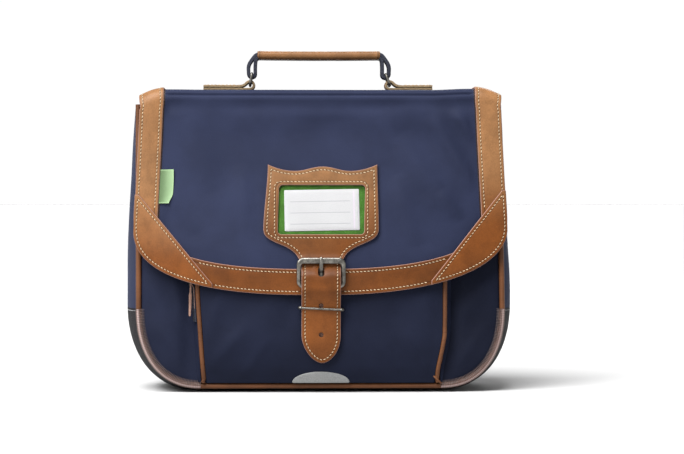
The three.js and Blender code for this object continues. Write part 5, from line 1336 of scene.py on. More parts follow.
def make_piping(context):
    """Cords along the seams: circles carried along the seam's line."""
    finish = finishes(context)
    reach = POCKET_HALF_WIDTH * 0.955
    back_reach = seam_length_at(BACK_PIPING_TOP)
    back = lambda z: np.full_like(z, BACK_SEAM)
    cords = [
        ("bottom_piping", -reach, reach, front_seam),
        ("back_piping", -back_reach, back_reach, back),
    ]
    for name, sign in SIDES:
        low, high = sign * (BASE_REACH + CLEARANCE), sign * SEAM_LENGTH
        cords.append((f"side_piping_{name}", low, high, front_seam))
    for node, start, end, y in cords:
        line, _ = seam_line(start, end, y)
        sweep(tube_rings(line, PIPING_RADIUS, (0, 1, 0), 16)).dress(node, finish["cord"])

    whips = Shell()
    for name, sign in SIDES:
        start, end = sign * (reach + CLEARANCE), sign * BASE_REACH
        line, out = seam_line(start, end, front_seam, 1.2)
        line = line - 0.3 * out
        rings = tube_rings(line, CORNER_CORD_RADIUS, (0, 1, 0), 22)
        # How far each point of the cord faces outwards, which places the binding's painted highlight.
        pale = 0.5 + 0.5 * ((rings - line[:, None]) * out[:, None]).sum(-1) / CORNER_CORD_RADIUS
        shell = sweep(rings, edge=pale)
        shell.dress(f"corner_piping_{name}", finish["corner"])
        fine, out = seam_line(start, end, front_seam, 1.35)
        inner = fine - out * (CORNER_CORD_RADIUS + 2.2) + [0, -PANEL_WALL / 2 - 0.8, 0]
        crest = fine - out * (0.45 * CORNER_CORD_RADIUS) + [0, -0.92 * CORNER_CORD_RADIUS, 0]
        middle = lerp(inner, crest, 0.5) + [0, -0.5, 0]
        threads(whips, np.stack([inner, middle, crest], axis=1), 0.28)
    whips.build("corner_stitches", finish["binding_stitch"])


def threads(shell, paths, radius):
    """Many thin straight threads at once: paths holds rows of three points."""
    direction = unit(paths[:, -1] - paths[:, 0])[:, None, None]
    upright = np.array([0.0, -1.0, 0.0])
    side = unit(np.cross(direction, upright))
    high = np.cross(side, direction)
    angle = circle(5)[None, None, :, None]
    girth = np.array([0.6, 1.0, 0.6])[None, :, None, None] * radius
    shell.tubes(paths[:, :, None] + girth * (np.cos(angle) * side + np.sin(angle) * high))


# Pocket

def pocket_cord(sign, z):
    x = pocket_edge(sign, z)
    clear = front_face(z) - POCKET_PIPING_RADIUS - CLEARANCE
    return points(x, np.minimum(clear, pocket_y(x, z) + POCKET_WALL / 2), z)


def pocket_gusset_spot(sign, z, share):
    """A place on the pocket's side wall, from beside its cord to its foot, and the wall's normal."""
    edge = pocket_cord(sign, z)
    foot = points(edge[..., 0] + sign * POCKET_FLARE, front_face(z) - POCKET_WALL / 2 - CLEARANCE, z)
    down = unit(foot - edge)
    start = edge + down * (POCKET_PIPING_RADIUS + 2 * CLEARANCE)
    normal = points(sign * down[..., 1], -sign * down[..., 0], 0)
    return lerp(start, foot, share), normal


def make_pocket(context):
    look, finish = kit(context)
    bottom = SEAM_BOTTOM + PIPING_RADIUS + CLEARANCE
    z = lerp(bottom, POCKET_TOP, np.linspace(0, 1, 110) ** 1.15)[:, None]
    share = ((1 - np.cos(np.linspace(0, math.pi, 121))) / 2)[None, :]
    inset = POCKET_PIPING_RADIUS + 0.5 * CLEARANCE
    x = lerp(pocket_edge(-1.0, z) + inset, pocket_edge(1.0, z) - inset, share)
    z = z + 0 * x
    fade = ease(108 - z, 0, 22) * ease(z, bottom, bottom + 10) * ease(104 - np.abs(x), 0, 14)
    under_strap = lerp(1, 0.0, ease(30 - np.abs(x), 0, 10) * ease(z, 14, 24))
    waves = 0.3 * ripples(x, z, 30, 85, 8)
    rise = look.wrinkle * (waves + folds(x, z, POCKET_FOLDS)) * fade * under_strap
    rise = rise - 0.5 * np.exp(-(z - bottom) / 2.2)
    shell = sheet_shell(on_pocket(x, z, rise), on_pocket(x, z, -POCKET_WALL), z[:, 0], share[0] * 2 * POCKET_HALF_WIDTH)
    piece = shell.dress("pocket_panel", finish["pocket"])

    for name, sign in SIDES:
        rows = np.linspace(bottom + 1.0, (POCKET_SIDE_TOP - 0.06) * POCKET_TOP, 70)
        share = np.linspace(0, 1, 7)
        spot = [pocket_gusset_spot(sign, rows, s) for s in share]
        middle = np.stack([s[0] for s in spot], axis=1)
        normal = np.stack([s[1] for s in spot], axis=1)
        arch = np.sin(math.pi * share)[None, :, None]
        tuck = 0.5 * arch + 0.25 * np.sin(rows / 4.5)[:, None, None] * arch
        half = POCKET_WALL / 2
        shell = sheet_shell(middle + normal * (half - tuck), middle - normal * half, rows, share * 12)
        piece = shell.dress(f"pocket_gusset_{name}", finish["pocket"], f"dressed_pocket_side_{name}")

        rows = np.linspace(bottom + 0.5, POCKET_SIDE_TOP * POCKET_TOP, 110)
        line = pocket_cord(sign, rows)
        line[:, 0] += sign * 1.6 * np.exp(-(rows - bottom) / 2.0)
        girth = POCKET_PIPING_RADIUS * (1 - 0.22 * np.exp(-((rows - bottom - 2.5) / 2.0) ** 2))
        shell = sweep(tube_rings(line, girth, (1, 0, 0), 16))
        shell.dress(f"pocket_piping_{name}", finish["cord"])
        foot = pocket_cord(sign, np.array([bottom + 3.2]))[0]
        tail = np.array([[-2.6, -1.4, 2.8], [-1.2, -2.2, 1.4], [0.6, -2.3, -0.6], [2.4, -1.7, -2.2], [3.6, -0.6, -3.4]])
        small = 0.6 if sign < 0 else 1.0
        knot = sweep(tube_rings(rounded(foot + small * tail * [sign, 1, 1]), 0.95 * small, (0, 1, 0), 10))
        knot.build(f"pocket_knot_{name}", finish["cord"])

    low = bottom + POCKET_WALL / 4
    angle = np.linspace(0, math.pi, 61)
    arc = points(REFLECTOR_WIDTH / 2 * np.cos(angle), low + 0.4 + REFLECTOR_HEIGHT * np.sin(angle))
    floor = resample(np.array([arc[-1], [arc[-1, 0], low], [arc[0, 0], low], arc[0]]), spacing=1.5)[1:-1]
    loop = np.concatenate([resample(arc, spacing=1.3), floor])
    plate([loop], on_pocket, 0.02, CLEARANCE + REFLECTOR_WALL, 0.25, 2.0).dress("reflector", finish["reflector"])


def make_zip(context):
    finish = finishes(context)
    z = np.linspace(ZIP_BOTTOM, ZIP_TOP, 60)
    at, normal = pocket_gusset_spot(-1.0, z, ZIP_PLACE)
    across = points(-normal[:, 1], normal[:, 0], 0 * z)
    lift = POCKET_WALL / 2 + CLEARANCE
    section = np.array([(-3, 0), (-3, 0.5), (-1.1, 0.6), (-0.9, 1.0), (0.9, 1.0), (1.1, 0.6), (3, 0.5), (3, 0)])
    sweep(strip_rings(at + normal * lift, across, normal, section)).dress("zip", finish["zip"])
    teeth = Shell()
    rows = np.linspace(ZIP_BOTTOM + 1, ZIP_TOP - 1, 62)
    at, normal = pocket_gusset_spot(-1.0, rows, ZIP_PLACE)
    across = points(-normal[:, 1], normal[:, 0], 0 * rows)
    base = at + normal * (lift + 1.1)
    swing = np.where(np.arange(len(rows)) % 2 == 0, -0.35, 0.35)[:, None]
    ends = np.stack([base + across * (swing - 1.0), base + across * swing, base + across * (swing + 1.0)], axis=1)
    threads(teeth, ends, 0.42)
    teeth.build("zip_teeth", finish["metal"])

    at, normal = (a[0] for a in pocket_gusset_spot(-1.0, np.array([SLIDER_HEIGHT]), ZIP_PLACE))
    middle = at + normal * (lift + ZIP_THICKNESS + CLEARANCE + SLIDER_THICKNESS / 2)
    across = np.array([-normal[1], normal[0], 0.0])
    place = lambda x, z, h: middle + x[:, None] * across + z[:, None] * np.array([0, 0, 1.0]) + h[:, None] * normal
    outline = rectangle(SLIDER_WIDTH, SLIDER_LENGTH, SLIDER_WIDTH / 3, 4, 2)
    outline[:, 0] *= lerp(0.72, 1.0, ease(outline[:, 1], -4, 3))
    shell = plate([outline], place, -SLIDER_THICKNESS / 2, SLIDER_THICKNESS / 2, 0.5, 1.4)
    shell.dress("zip_slider", finish["metal"])

    turn = math.atan2(normal[1], normal[0])
    out = SLIDER_THICKNESS / 2 + CLEARANCE
    root = middle + [math.cos(turn) * out - PULL_WIDTH / 4 + 3.0, math.sin(turn) * out - CLEARANCE - PULL_THICKNESS, 0]
    tails = Shell()
    box = rectangle(1, 1, 0.28, 3, 1)[None]
    for length, wide, shift, back, lean in (
        (PULL_LENGTH, 0.86 * PULL_WIDTH, 0.0, 0.0, -0.03), (0.8 * PULL_LENGTH, 0.42 * PULL_WIDTH, 2.4, 1.2, 0.05),
    ):
        drop = np.linspace(0, 1, 50)
        width = 0.92 * wide * follow(PULL_OUTLINE, drop) * (1 - 0.5 * ease(drop, 0.985, 1.0))
        thick = 0.55 * PULL_THICKNESS * (0.8 + 0.2 * np.cos(7 * drop))
        twist = 0.35 * np.sin(4.0 * drop + shift)
        away = shift * ease(drop, 0, 0.35)
        line = points(root[0] + away + lean * length * drop, root[1] + 0.6 + back, root[2] - length * drop)
        side = points(np.cos(twist), np.sin(twist), 0 * drop)
        face = points(np.sin(twist), -np.cos(twist), 0 * drop)
        side, face = width[:, None] * side, thick[:, None] * face
        rings = line[:, None] + box[..., :1] * side[:, None] + box[..., 1:] * face[:, None]
        sweep(rings, edge=2.0, shell=tails)
    tails.dress("zip_pull", finish["pull"])


# Flap

def flap_run(*counts):
    """Places down the flap's run, with a number of them for each of its parts."""
    rows = [np.linspace(part, part + 1, count)[part > 0:] for part, count in enumerate(counts)]
    return np.concatenate(rows)


def flap_wrinkles(x, z, depth):
    """Folds of the hanging cloth: broad waves and slanting ridges, none under the trim or the shield."""
    clear = ease(flap_half(z) - band_width(x) - 1 - np.abs(x), 0, 9)
    u = np.clip(np.abs(x) / (FLAP_HALF_WIDTH - band_width(x)), 0, 0.999)
    band = FLAP_CORNER_START - (FLAP_DROP - BOTTOM_BAND_WIDTH) * superellipse(u, flap_power(x))
    diagonal = (flap_half(z) - np.abs(x)) - (PATCH_TOPS[1.0] - z) * 0.62
    clear = clear * ease(z - band, 1, 16) * ease(diagonal + 14, 0, 26)
    shield = ease(np.maximum(np.abs(x) - 54, np.maximum(z - 204, 106 - z)), 0, 16)
    waves = 0.4 * ripples(x, z, 45, 120, 4, waves=22)
    return depth * clear * shield * (waves + 1.5 * folds(x, z, FLAP_FOLDS))


def make_flap(context):
    look, finish = kit(context)
    u = np.sin(np.radians(np.linspace(-90, 90, 161))) * 0.9997
    run = flap_run(14, 12, 40, 34, look.fineness)
    u, rows = np.meshgrid(u, run)
    spot = flap_face(u, rows)
    hang = ease(rows, 4.0, 4.12)
    rise = flap_wrinkles(spot[..., 0], spot[..., 2], look.wrinkle) * hang
    free = ease(0.865 - np.abs(u), 0, 0.03)
    drop = flap_inner_top(u) - spot[..., 2]
    rise = rise - 2.0 * bell(rows, 3.6, 0.09) * free
    uneven = 1 + 0.35 * ripples(spot[..., 0], 0 * drop, 50, 120, 41)
    below = (0.25 * bell(drop, 5.5, 2.2) - 1.1 * bell(drop, 13.0, 6.0)) * uneven
    rise = rise + below * free * ease(rows, 3.4, 3.7)
    top = np.exp(-(((rows - 2.5) / 0.42) ** 4)) * ease(0.86 - np.abs(u), 0, 0.12)
    tabs = ease(np.abs(np.abs(spot[..., 0]) - 81), 26, 40)
    rise = rise + top * tabs * look.wrinkle * (0.5 * ripples(spot[..., 0], spot[..., 1], 40, 110, 14) - 0.2)
    length = lengths(flap_face(np.zeros_like(run), run))
    outer = on_flap_sheet(u, rows, FLAP_WALL + rise)
    shell = sheet_shell(outer, on_flap_sheet(u, rows, 0.0), length, u[0] * FLAP_HALF_WIDTH)
    piece = shell.dress("flap_panel", finish["flap"], "dressed_flap")
    hem = Shell()
    line_u = np.linspace(-0.84, 0.84, 200)
    for height in (0.1, 0.26):
        low = on_flap_sheet(line_u, np.full(200, height), FLAP_WALL)
        high = on_flap_sheet(line_u, np.full(200, height), FLAP_WALL + 1)
        stitches(hem, low, high - low, *sewing(look)[:2], HEM_THREAD)
    hem.build("flap_hem_stitches", finish["dark_stitch"])


def band_spot(sign, out, c, lift):
    """The leather round the lower edge: out is the share of the way across the flap's lower curve."""
    down = superellipse(np.minimum(out, 1), flap_power(sign))
    x = lerp(FLAP_HALF_WIDTH, FLAP_HALF_WIDTH - band_width(sign), c) * out * sign
    z = FLAP_CORNER_START - lerp(FLAP_DROP, FLAP_DROP - BOTTOM_BAND_WIDTH, c) * down
    return on_flap(x, z, lift)


MITRE_OUT = {side: math.sin(math.radians(BAND_MITRE)) ** (2 / power) for side, power in FLAP_POWERS.items()}


def side_band_grid(sign, c, lift):
    """A side band: up the back, over the top, down the front and round to the mitre."""
    run = flap_run(9, 9, 24, 10)
    wide = band_width(sign)
    u = sign * (1 - c * wide / FLAP_HALF_WIDTH_TOP)
    over = on_flap_sheet(u[None, :], run[:, None], lift[None, :])
    z = np.linspace(flap_inner_top(1.0) - FLAP_CREASE, FLAP_CORNER_START, 42)[1:-1, None]
    hang = on_flap(sign * (flap_half(z) - c[None, :] * wide), z, lift[None, :])
    angle = np.radians(np.linspace(90, BAND_MITRE, 20))[:, None]
    corner = band_spot(sign, np.sin(angle) ** (2 / FLAP_POWERS[sign]), c[None, :], lift[None, :])
    return np.concatenate([over, hang, corner])


def bottom_band_grid(c, lift):
    gap = 2 * CLEARANCE / FLAP_HALF_WIDTH
    share = np.linspace(gap - MITRE_OUT[-1.0], MITRE_OUT[1.0] - gap, 150)[:, None]
    return band_spot(np.sign(share) + (share == 0), np.abs(share), c[None, :], lift[None, :])


def patch_outline(sign):
    """A corner patch: its straight diagonal and the flap's own rounded corner."""
    top, power = PATCH_TOPS[sign], FLAP_POWERS[sign]
    z = np.linspace(top, FLAP_CORNER_START, 9)
    angle = np.radians(np.linspace(90, 0, 121))[1:]
    rim = np.concatenate([
        points(flap_half(z), z),
        points(
            FLAP_HALF_WIDTH * np.sin(angle) ** (2 / power),
            FLAP_CORNER_START - FLAP_DROP * np.cos(angle) ** (2 / power),
        ),
    ])
    rim = rim[rim[:, 0] >= PATCH_INNERS[sign]]
    upper = [flap_half(top) - PATCH_TIP, top]
    lower = [rim[-1, 0], rim[-1, 1] + PATCH_TIP]
    sides = [resample(rim, spacing=1.6), resample(np.array([rim[-1], lower]), spacing=1.2)[1:],
             resample(np.array([lower, upper]), spacing=1.6)[1:]]
    return turned(np.concatenate(sides) * [sign, 1])


def sew_band(seams, grid, width, look, keep):
    """Stitches down both edges of a band whose grid takes shares across it and lifts."""
    c = np.array([look.seam_inset, width - look.seam_inset]) / width
    low, high = (grid(c, np.full(2, lift)) for lift in (BAND_HIGH - SEAM_SINK, BAND_HIGH + 1.0))
    for k in range(2):
        stitches(seams, low[:, k], high[:, k] - low[:, k], *sewing(look), keep=keep)


def dress_band(node, grid, width, finish, look):
    section, edge = strap_section(width, LEATHER, 0.18, look.seam_inset)
    sweep(grid(section[:, 0] / width, BAND_LOW + section[:, 1]), edge=edge[None, :]).dress(node, finish)


def make_bands(context):
    look, finish = kit(context)
    inset = look.seam_inset
    patches = {sign: patch_outline(sign) for _, sign in SIDES}
    covers = [offset(patches[sign], -1.4) for sign in (-1.0, 1.0)]
    bare = lambda places: ~inside(places[:, [0, 2]], covers) | (places[:, 1] > -30)
    seams = Shell()
    for name, sign in SIDES:
        wide = SIDE_BAND_WIDTHS[sign]
        grid = lambda c, lift, sign=sign: side_band_grid(sign, c, lift)
        dress_band(f"side_band_{name}", grid, wide, finish["band"], look)
        # Painted shadow: a near-black strip under each side band, showing 1 mm past its inner edge.
        across, lift = np.array([-4.0, -4.0, 1.0, 1.0]), np.array([-0.2, 0.22, 0.22, -0.2])
        sweep(grid((wide + across) / wide, FLAP_WALL + lift)).build(f"band_shadow_strip_{name}", finish["backing"])
        sew_band(seams, grid, wide, look, bare)

        outline = patches[sign]
        shell = plate([outline], on_flap, PATCH_LOW, PATCH_HIGH, radius=0.7, spacing=3.2, groove=inset)
        shell.dress(f"corner_patch_{name}", finish["band"])
        flat_stitches(seams, inset_line(outline, inset), on_flap, PATCH_HIGH - SEAM_SINK, look)

    dress_band("bottom_band", bottom_band_grid, BOTTOM_BAND_WIDTH, finish["leather"], look)
    beside = lambda places: bare(places) & (np.abs(places[:, 0]) > STRAP_WIDTH / 2 + 1)
    sew_band(seams, bottom_band_grid, BOTTOM_BAND_WIDTH, look, beside)
    seams.build("band_stitches", finish["stitch"])

    z = np.linspace(TAG_TOP - TAG_HEIGHT, TAG_TOP, 24)[:, None]
    c = np.linspace(0, 1, 12)[None, :]
    taper = 1 - 0.22 * ease(TAG_TOP - TAG_HEIGHT * 0.72 - z, 0, 8)
    x = -(flap_half(z) - SIDE_BAND_WIDTHS[-1.0] - CLEARANCE) + c * TAG_WIDTH * taper
    x = x - 0.5 * c * np.sin((z - TAG_TOP) / 9)
    curl = 0.2 + 0.9 * c**2 * (0.6 + 0.4 * np.cos((z - TAG_TOP) / 6.5))
    rim = np.minimum(np.minimum(z - z.min(), z.max() - z), (1 - c) * TAG_WIDTH) + 0 * c
    outer, inner = on_flap(x, z, BAND_LOW + curl + TAG_WALL), on_flap(x, z, BAND_LOW + curl * 0.6)
    piece = sheet_shell(outer, inner, z[:, 0], c[0] * TAG_WIDTH, rim).dress("side_tag", finish["tag"])


# Shield, card and strap

def shield_outline():
    z = np.linspace(STRAP_TIP, SHIELD_TOP, 700)
    right = resample(points(shield_half(z), z), spacing=1.35)
    share = np.linspace(1, -1, 241)
    top = shield_top(share)
    crown = resample(points(share * shield_half(top), top), spacing=1.35)
    left = right[::-1] * [-1, 1]
    tip = resample(np.array([left[-1], right[0]]), spacing=1.0)[1:-1]
    return turned(np.concatenate([right, crown[1:-1], left, tip]))


def swayed(loop):
    """The strap's tip and the shield's top both sit a little to the right."""
    away = STRAP_SWAY * ease(52 - loop[:, 1], 0, 26) + SHIELD_LEAN * ease(loop[:, 1], 138, SHIELD_TOP)
    return loop + points(away, 0 * loop[:, 1])


def shield_low(x, z):
    """The back of the leather, hollowed where the card lies."""
    wide = (WINDOW_WIDTH / 2 + CARD_POCKET_MARGIN + 0.3) - np.abs(x)
    tall = (WINDOW_HEIGHT / 2 + CARD_POCKET_MARGIN + 0.3) - np.abs(z - WINDOW_CENTRE)
    return strap_lift(z) + np.where(np.minimum(wide, tall) > 0, CARD_LAYERS, 0)


def shield_high(x, z):
    puff = 0.25 * ease(z, 118, 136) * np.cos(np.clip(x / 60, -1, 1) * 1.5)
    return strap_lift(z) + strap_wall(z) + puff


def make_shield(context):
    look, finish = kit(context)
    outline = shield_outline()
    window = rectangle(WINDOW_WIDTH, WINDOW_HEIGHT, WINDOW_CORNER, 7, 1) + [0, WINDOW_CENTRE]
    window = resample(joined(window), spacing=1.4)[:-1]
    slot_width = PRONG_WIDTH + 4 * CLEARANCE
    slot = rectangle(slot_width, PRONG_SLOT, slot_width / 2 - 0.1, 5, 1) + [0, TOP_BAR_HEIGHT - 0.42 * PITCH]
    angle = circle(16)
    holes = [points(HOLE_RADIUS * np.cos(angle), height + HOLE_RADIUS * np.sin(angle)) for height in HOLE_HEIGHTS]
    loops = [outline, window, slot, *holes]
    shell = plate(
        [swayed(loop) for loop in loops], on_flap, shield_low, shield_high,
        radius=0.75, spacing=2.2, groove=look.seam_inset, bored=3,
    )
    shell.dress("shield_strap", finish["leather"])
    seams = Shell()
    lift = lambda x, z: shield_high(x, z) - 0.15
    flat_stitches(seams, swayed(inset_line(outline, look.seam_inset + 0.1)), on_flap, lift, look)
    inset = 2 * look.seam_inset
    round_window = rectangle(WINDOW_WIDTH + inset, WINDOW_HEIGHT + inset, WINDOW_CORNER + 2, 7, 1)
    flat_stitches(seams, round_window + [0, WINDOW_CENTRE], on_flap, lift, look)
    seams.build("shield_stitches", finish["stitch"])
    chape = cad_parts["chape"].data.materials
    chape.clear()
    chape.append(finish["leather"][0])


def in_window(x, z, lift):
    return on_flap(x, WINDOW_CENTRE + z, lift)


def on_card(x, z, lift):
    """The card's own directions: it sits a little turned and to the right in its window."""
    x, z = spun(x, z, math.radians(CARD_TURN))
    return in_window(CARD_SHIFT + x, z, lift)


def make_card(context):
    """The name card on its green backing under clear film: thin plates that follow the flap."""
    finish = finishes(context)
    wide, tall = WINDOW_WIDTH + 2 * CARD_POCKET_MARGIN, WINDOW_HEIGHT + 2 * CARD_POCKET_MARGIN
    pocket, card = rectangle(wide, tall, 2.0, 4, 6), rectangle(CARD_WIDTH, CARD_HEIGHT, 0.8, 3, 6)
    layers = (
        ("card_frame", pocket, in_window, 0.0, 0.5), ("name_card", card, on_card, 0.6, 0.9),
        ("card_film", pocket, in_window, 1.1, 1.3),
    )
    for node, loop, place, low, high in layers:
        plate([loop], place, BAND_LOW + low, BAND_LOW + high, 0.08, 3.6).dress(node, finish[node])


# Buckle

HINGE = on_flap(0.0, HINGE_HEIGHT, HINGE_LIFT)
TOP_BAR_PLACE = on_flap(0.0, TOP_BAR_HEIGHT, TOP_BAR_LIFT)
FRAME_PITCH = float(np.linalg.norm(TOP_BAR_PLACE - HINGE))
FRAME_TURN = math.atan2(TOP_BAR_PLACE[2] - HINGE[2], TOP_BAR_PLACE[1] - HINGE[1])


def in_buckle(x, along_frame, out):
    """From the buckle's own directions, with the hinge bar as origin, to the bag's."""
    y, z = spun(along_frame, out, FRAME_TURN)
    return points(x, HINGE[1] + y, HINGE[2] + z)


def make_buckle(context):
    finish = finishes(context)
    low, high = -HINGE_BAR / 2, FRAME_PITCH + TOP_BAR / 2
    hole_low, hole_high = HINGE_BAR / 2, FRAME_PITCH - TOP_BAR / 2
    outer = rectangle(FRAME_WIDTH, high - low, FRAME_CORNER, 8, 3) + [0, (low + high) / 2]
    hole = rectangle(FRAME_WIDTH - 2 * FRAME_SIDE, hole_high - hole_low, FRAME_CORNER - FRAME_SIDE, 8, 3)
    hole = hole + [0, (hole_low + hole_high) / 2]
    angle = circle(24)
    flat = (outer + hole)[:, None] / 2 + (outer - hole)[:, None] / 2 * signed_power(np.cos(angle), 0.75)[None, :, None]
    out = np.broadcast_to(FRAME_THICKNESS / 2 * signed_power(np.sin(angle), 0.75), flat.shape[:2])
    wear = 0.12 * ripples(flat[..., 0], flat[..., 1], 6, 20, 2)
    shell = sweep(in_buckle(flat[..., 0], flat[..., 1], out + 0.2 * wear), closed=True)
    shell.dress("buckle_frame", finish["metal"])

    rest = FRAME_THICKNESS / 2 + CLEARANCE + PRONG_THICKNESS / 2
    eye = EYE_INNER + PRONG_EYE_WALL / 2
    turn = np.radians(np.linspace(-235, 35, 26))
    line = np.concatenate([
        points(eye * np.cos(turn), eye * np.sin(turn)),
        rounded(np.array([
            [eye + 2.2, eye * 0.3], [FRAME_PITCH * 0.5, -0.2 * rest], [FRAME_PITCH * 0.68, 0.55 * rest],
            [FRAME_PITCH - TOP_BAR / 2, rest],
            [FRAME_PITCH + 1.2, rest + 0.15], [FRAME_PITCH + PRONG_OVERHANG - 0.4, rest - 0.55],
        ])),
    ])
    line = resample(line, count=90)
    run = lengths(line) / lengths(line)[-1]
    direction = along(line)
    normal = np.stack([-direction[:, 1], direction[:, 0]], axis=1)
    width = PRONG_WIDTH * (1 - 0.18 * ease(run, 0.5, 0.9) - 0.45 * ease(run, 0.965, 1.0))
    thick = lerp(PRONG_EYE_WALL, PRONG_THICKNESS * 0.92, ease(run, 0.42, 0.6))
    thick = thick * (1 - 0.35 * ease(run, 0.97, 1))
    box = rectangle(1, 1, 0.36, 4, 1)
    x = box[None, :, 0] * width[:, None]
    step = line[:, None] + normal[:, None] * (box[None, :, 1] * thick[:, None])[..., None]
    sweep(in_buckle(x, step[..., 0], step[..., 1])).dress("buckle_prong", finish["metal"])

    front = strap_lift(KEEPER_HEIGHT) + STRAP_WALL + CLEARANCE + KEEPER_RADIUS
    back = KEEPER_CHAPE - CHAPE_WALL / 2 - CLEARANCE - KEEPER_RADIUS
    half = STRAP_WIDTH / 2 + 3 * CLEARANCE + KEEPER_RADIUS
    middle = on_flap(0.0, KEEPER_HEIGHT, (front + back) / 2)
    loop = rectangle(2 * half, front - back, 2 * KEEPER_RADIUS, 6, 6)
    line = points(loop[:, 0], middle[1] + loop[:, 1], middle[2] - loop[:, 0] * math.tan(math.radians(2.8)))
    end = ease(np.abs(loop[:, 0]), half - 2.2, half - 0.6)
    shell = sweep(tube_rings(line, KEEPER_RADIUS * (1 + 0.4 * end), (0, 0, 1), 14, closed=True), closed=True)
    shell.dress("keeper", finish["metal"])


# Handle

RING_LOW_Z = CLEARANCE + TAB_WALL + TAB_LOOP_RADIUS
RING_LOW_X = TAB_INNER + TAB_WALL + TAB_LOOP_RADIUS


def ring_top(sign):
    reach = sign * GRIP_SHIFT + GRIP_LENGTH / 2 + 1.6 * LOOP_WEB_WALL - RING_LOW_X
    reach = min(max(reach, -0.6 * RING_SPAN), 0.6 * RING_SPAN)
    return RING_LOW_X + reach, RING_LOW_Z + math.sqrt(RING_SPAN**2 - reach**2)


def cross_strip(line, width, thickness, sign):
    """A strip along a line in the XZ plane, with its width along Y, mirrored for the left side."""
    section, inset = strap_section(width, thickness, 0.05)
    direction = along(line)
    normal = np.stack([-direction[:, 1], direction[:, 0]], axis=1)
    lift = section[:, 1] - thickness / 2
    x = line[:, None, 0] + normal[:, None, 0] * lift
    z = line[:, None, 1] + normal[:, None, 1] * lift
    y = np.broadcast_to(section[:, 0] - width / 2, x.shape)
    return sweep(points(sign * x, y, FLAP_TOP + z), edge=inset[None, :])


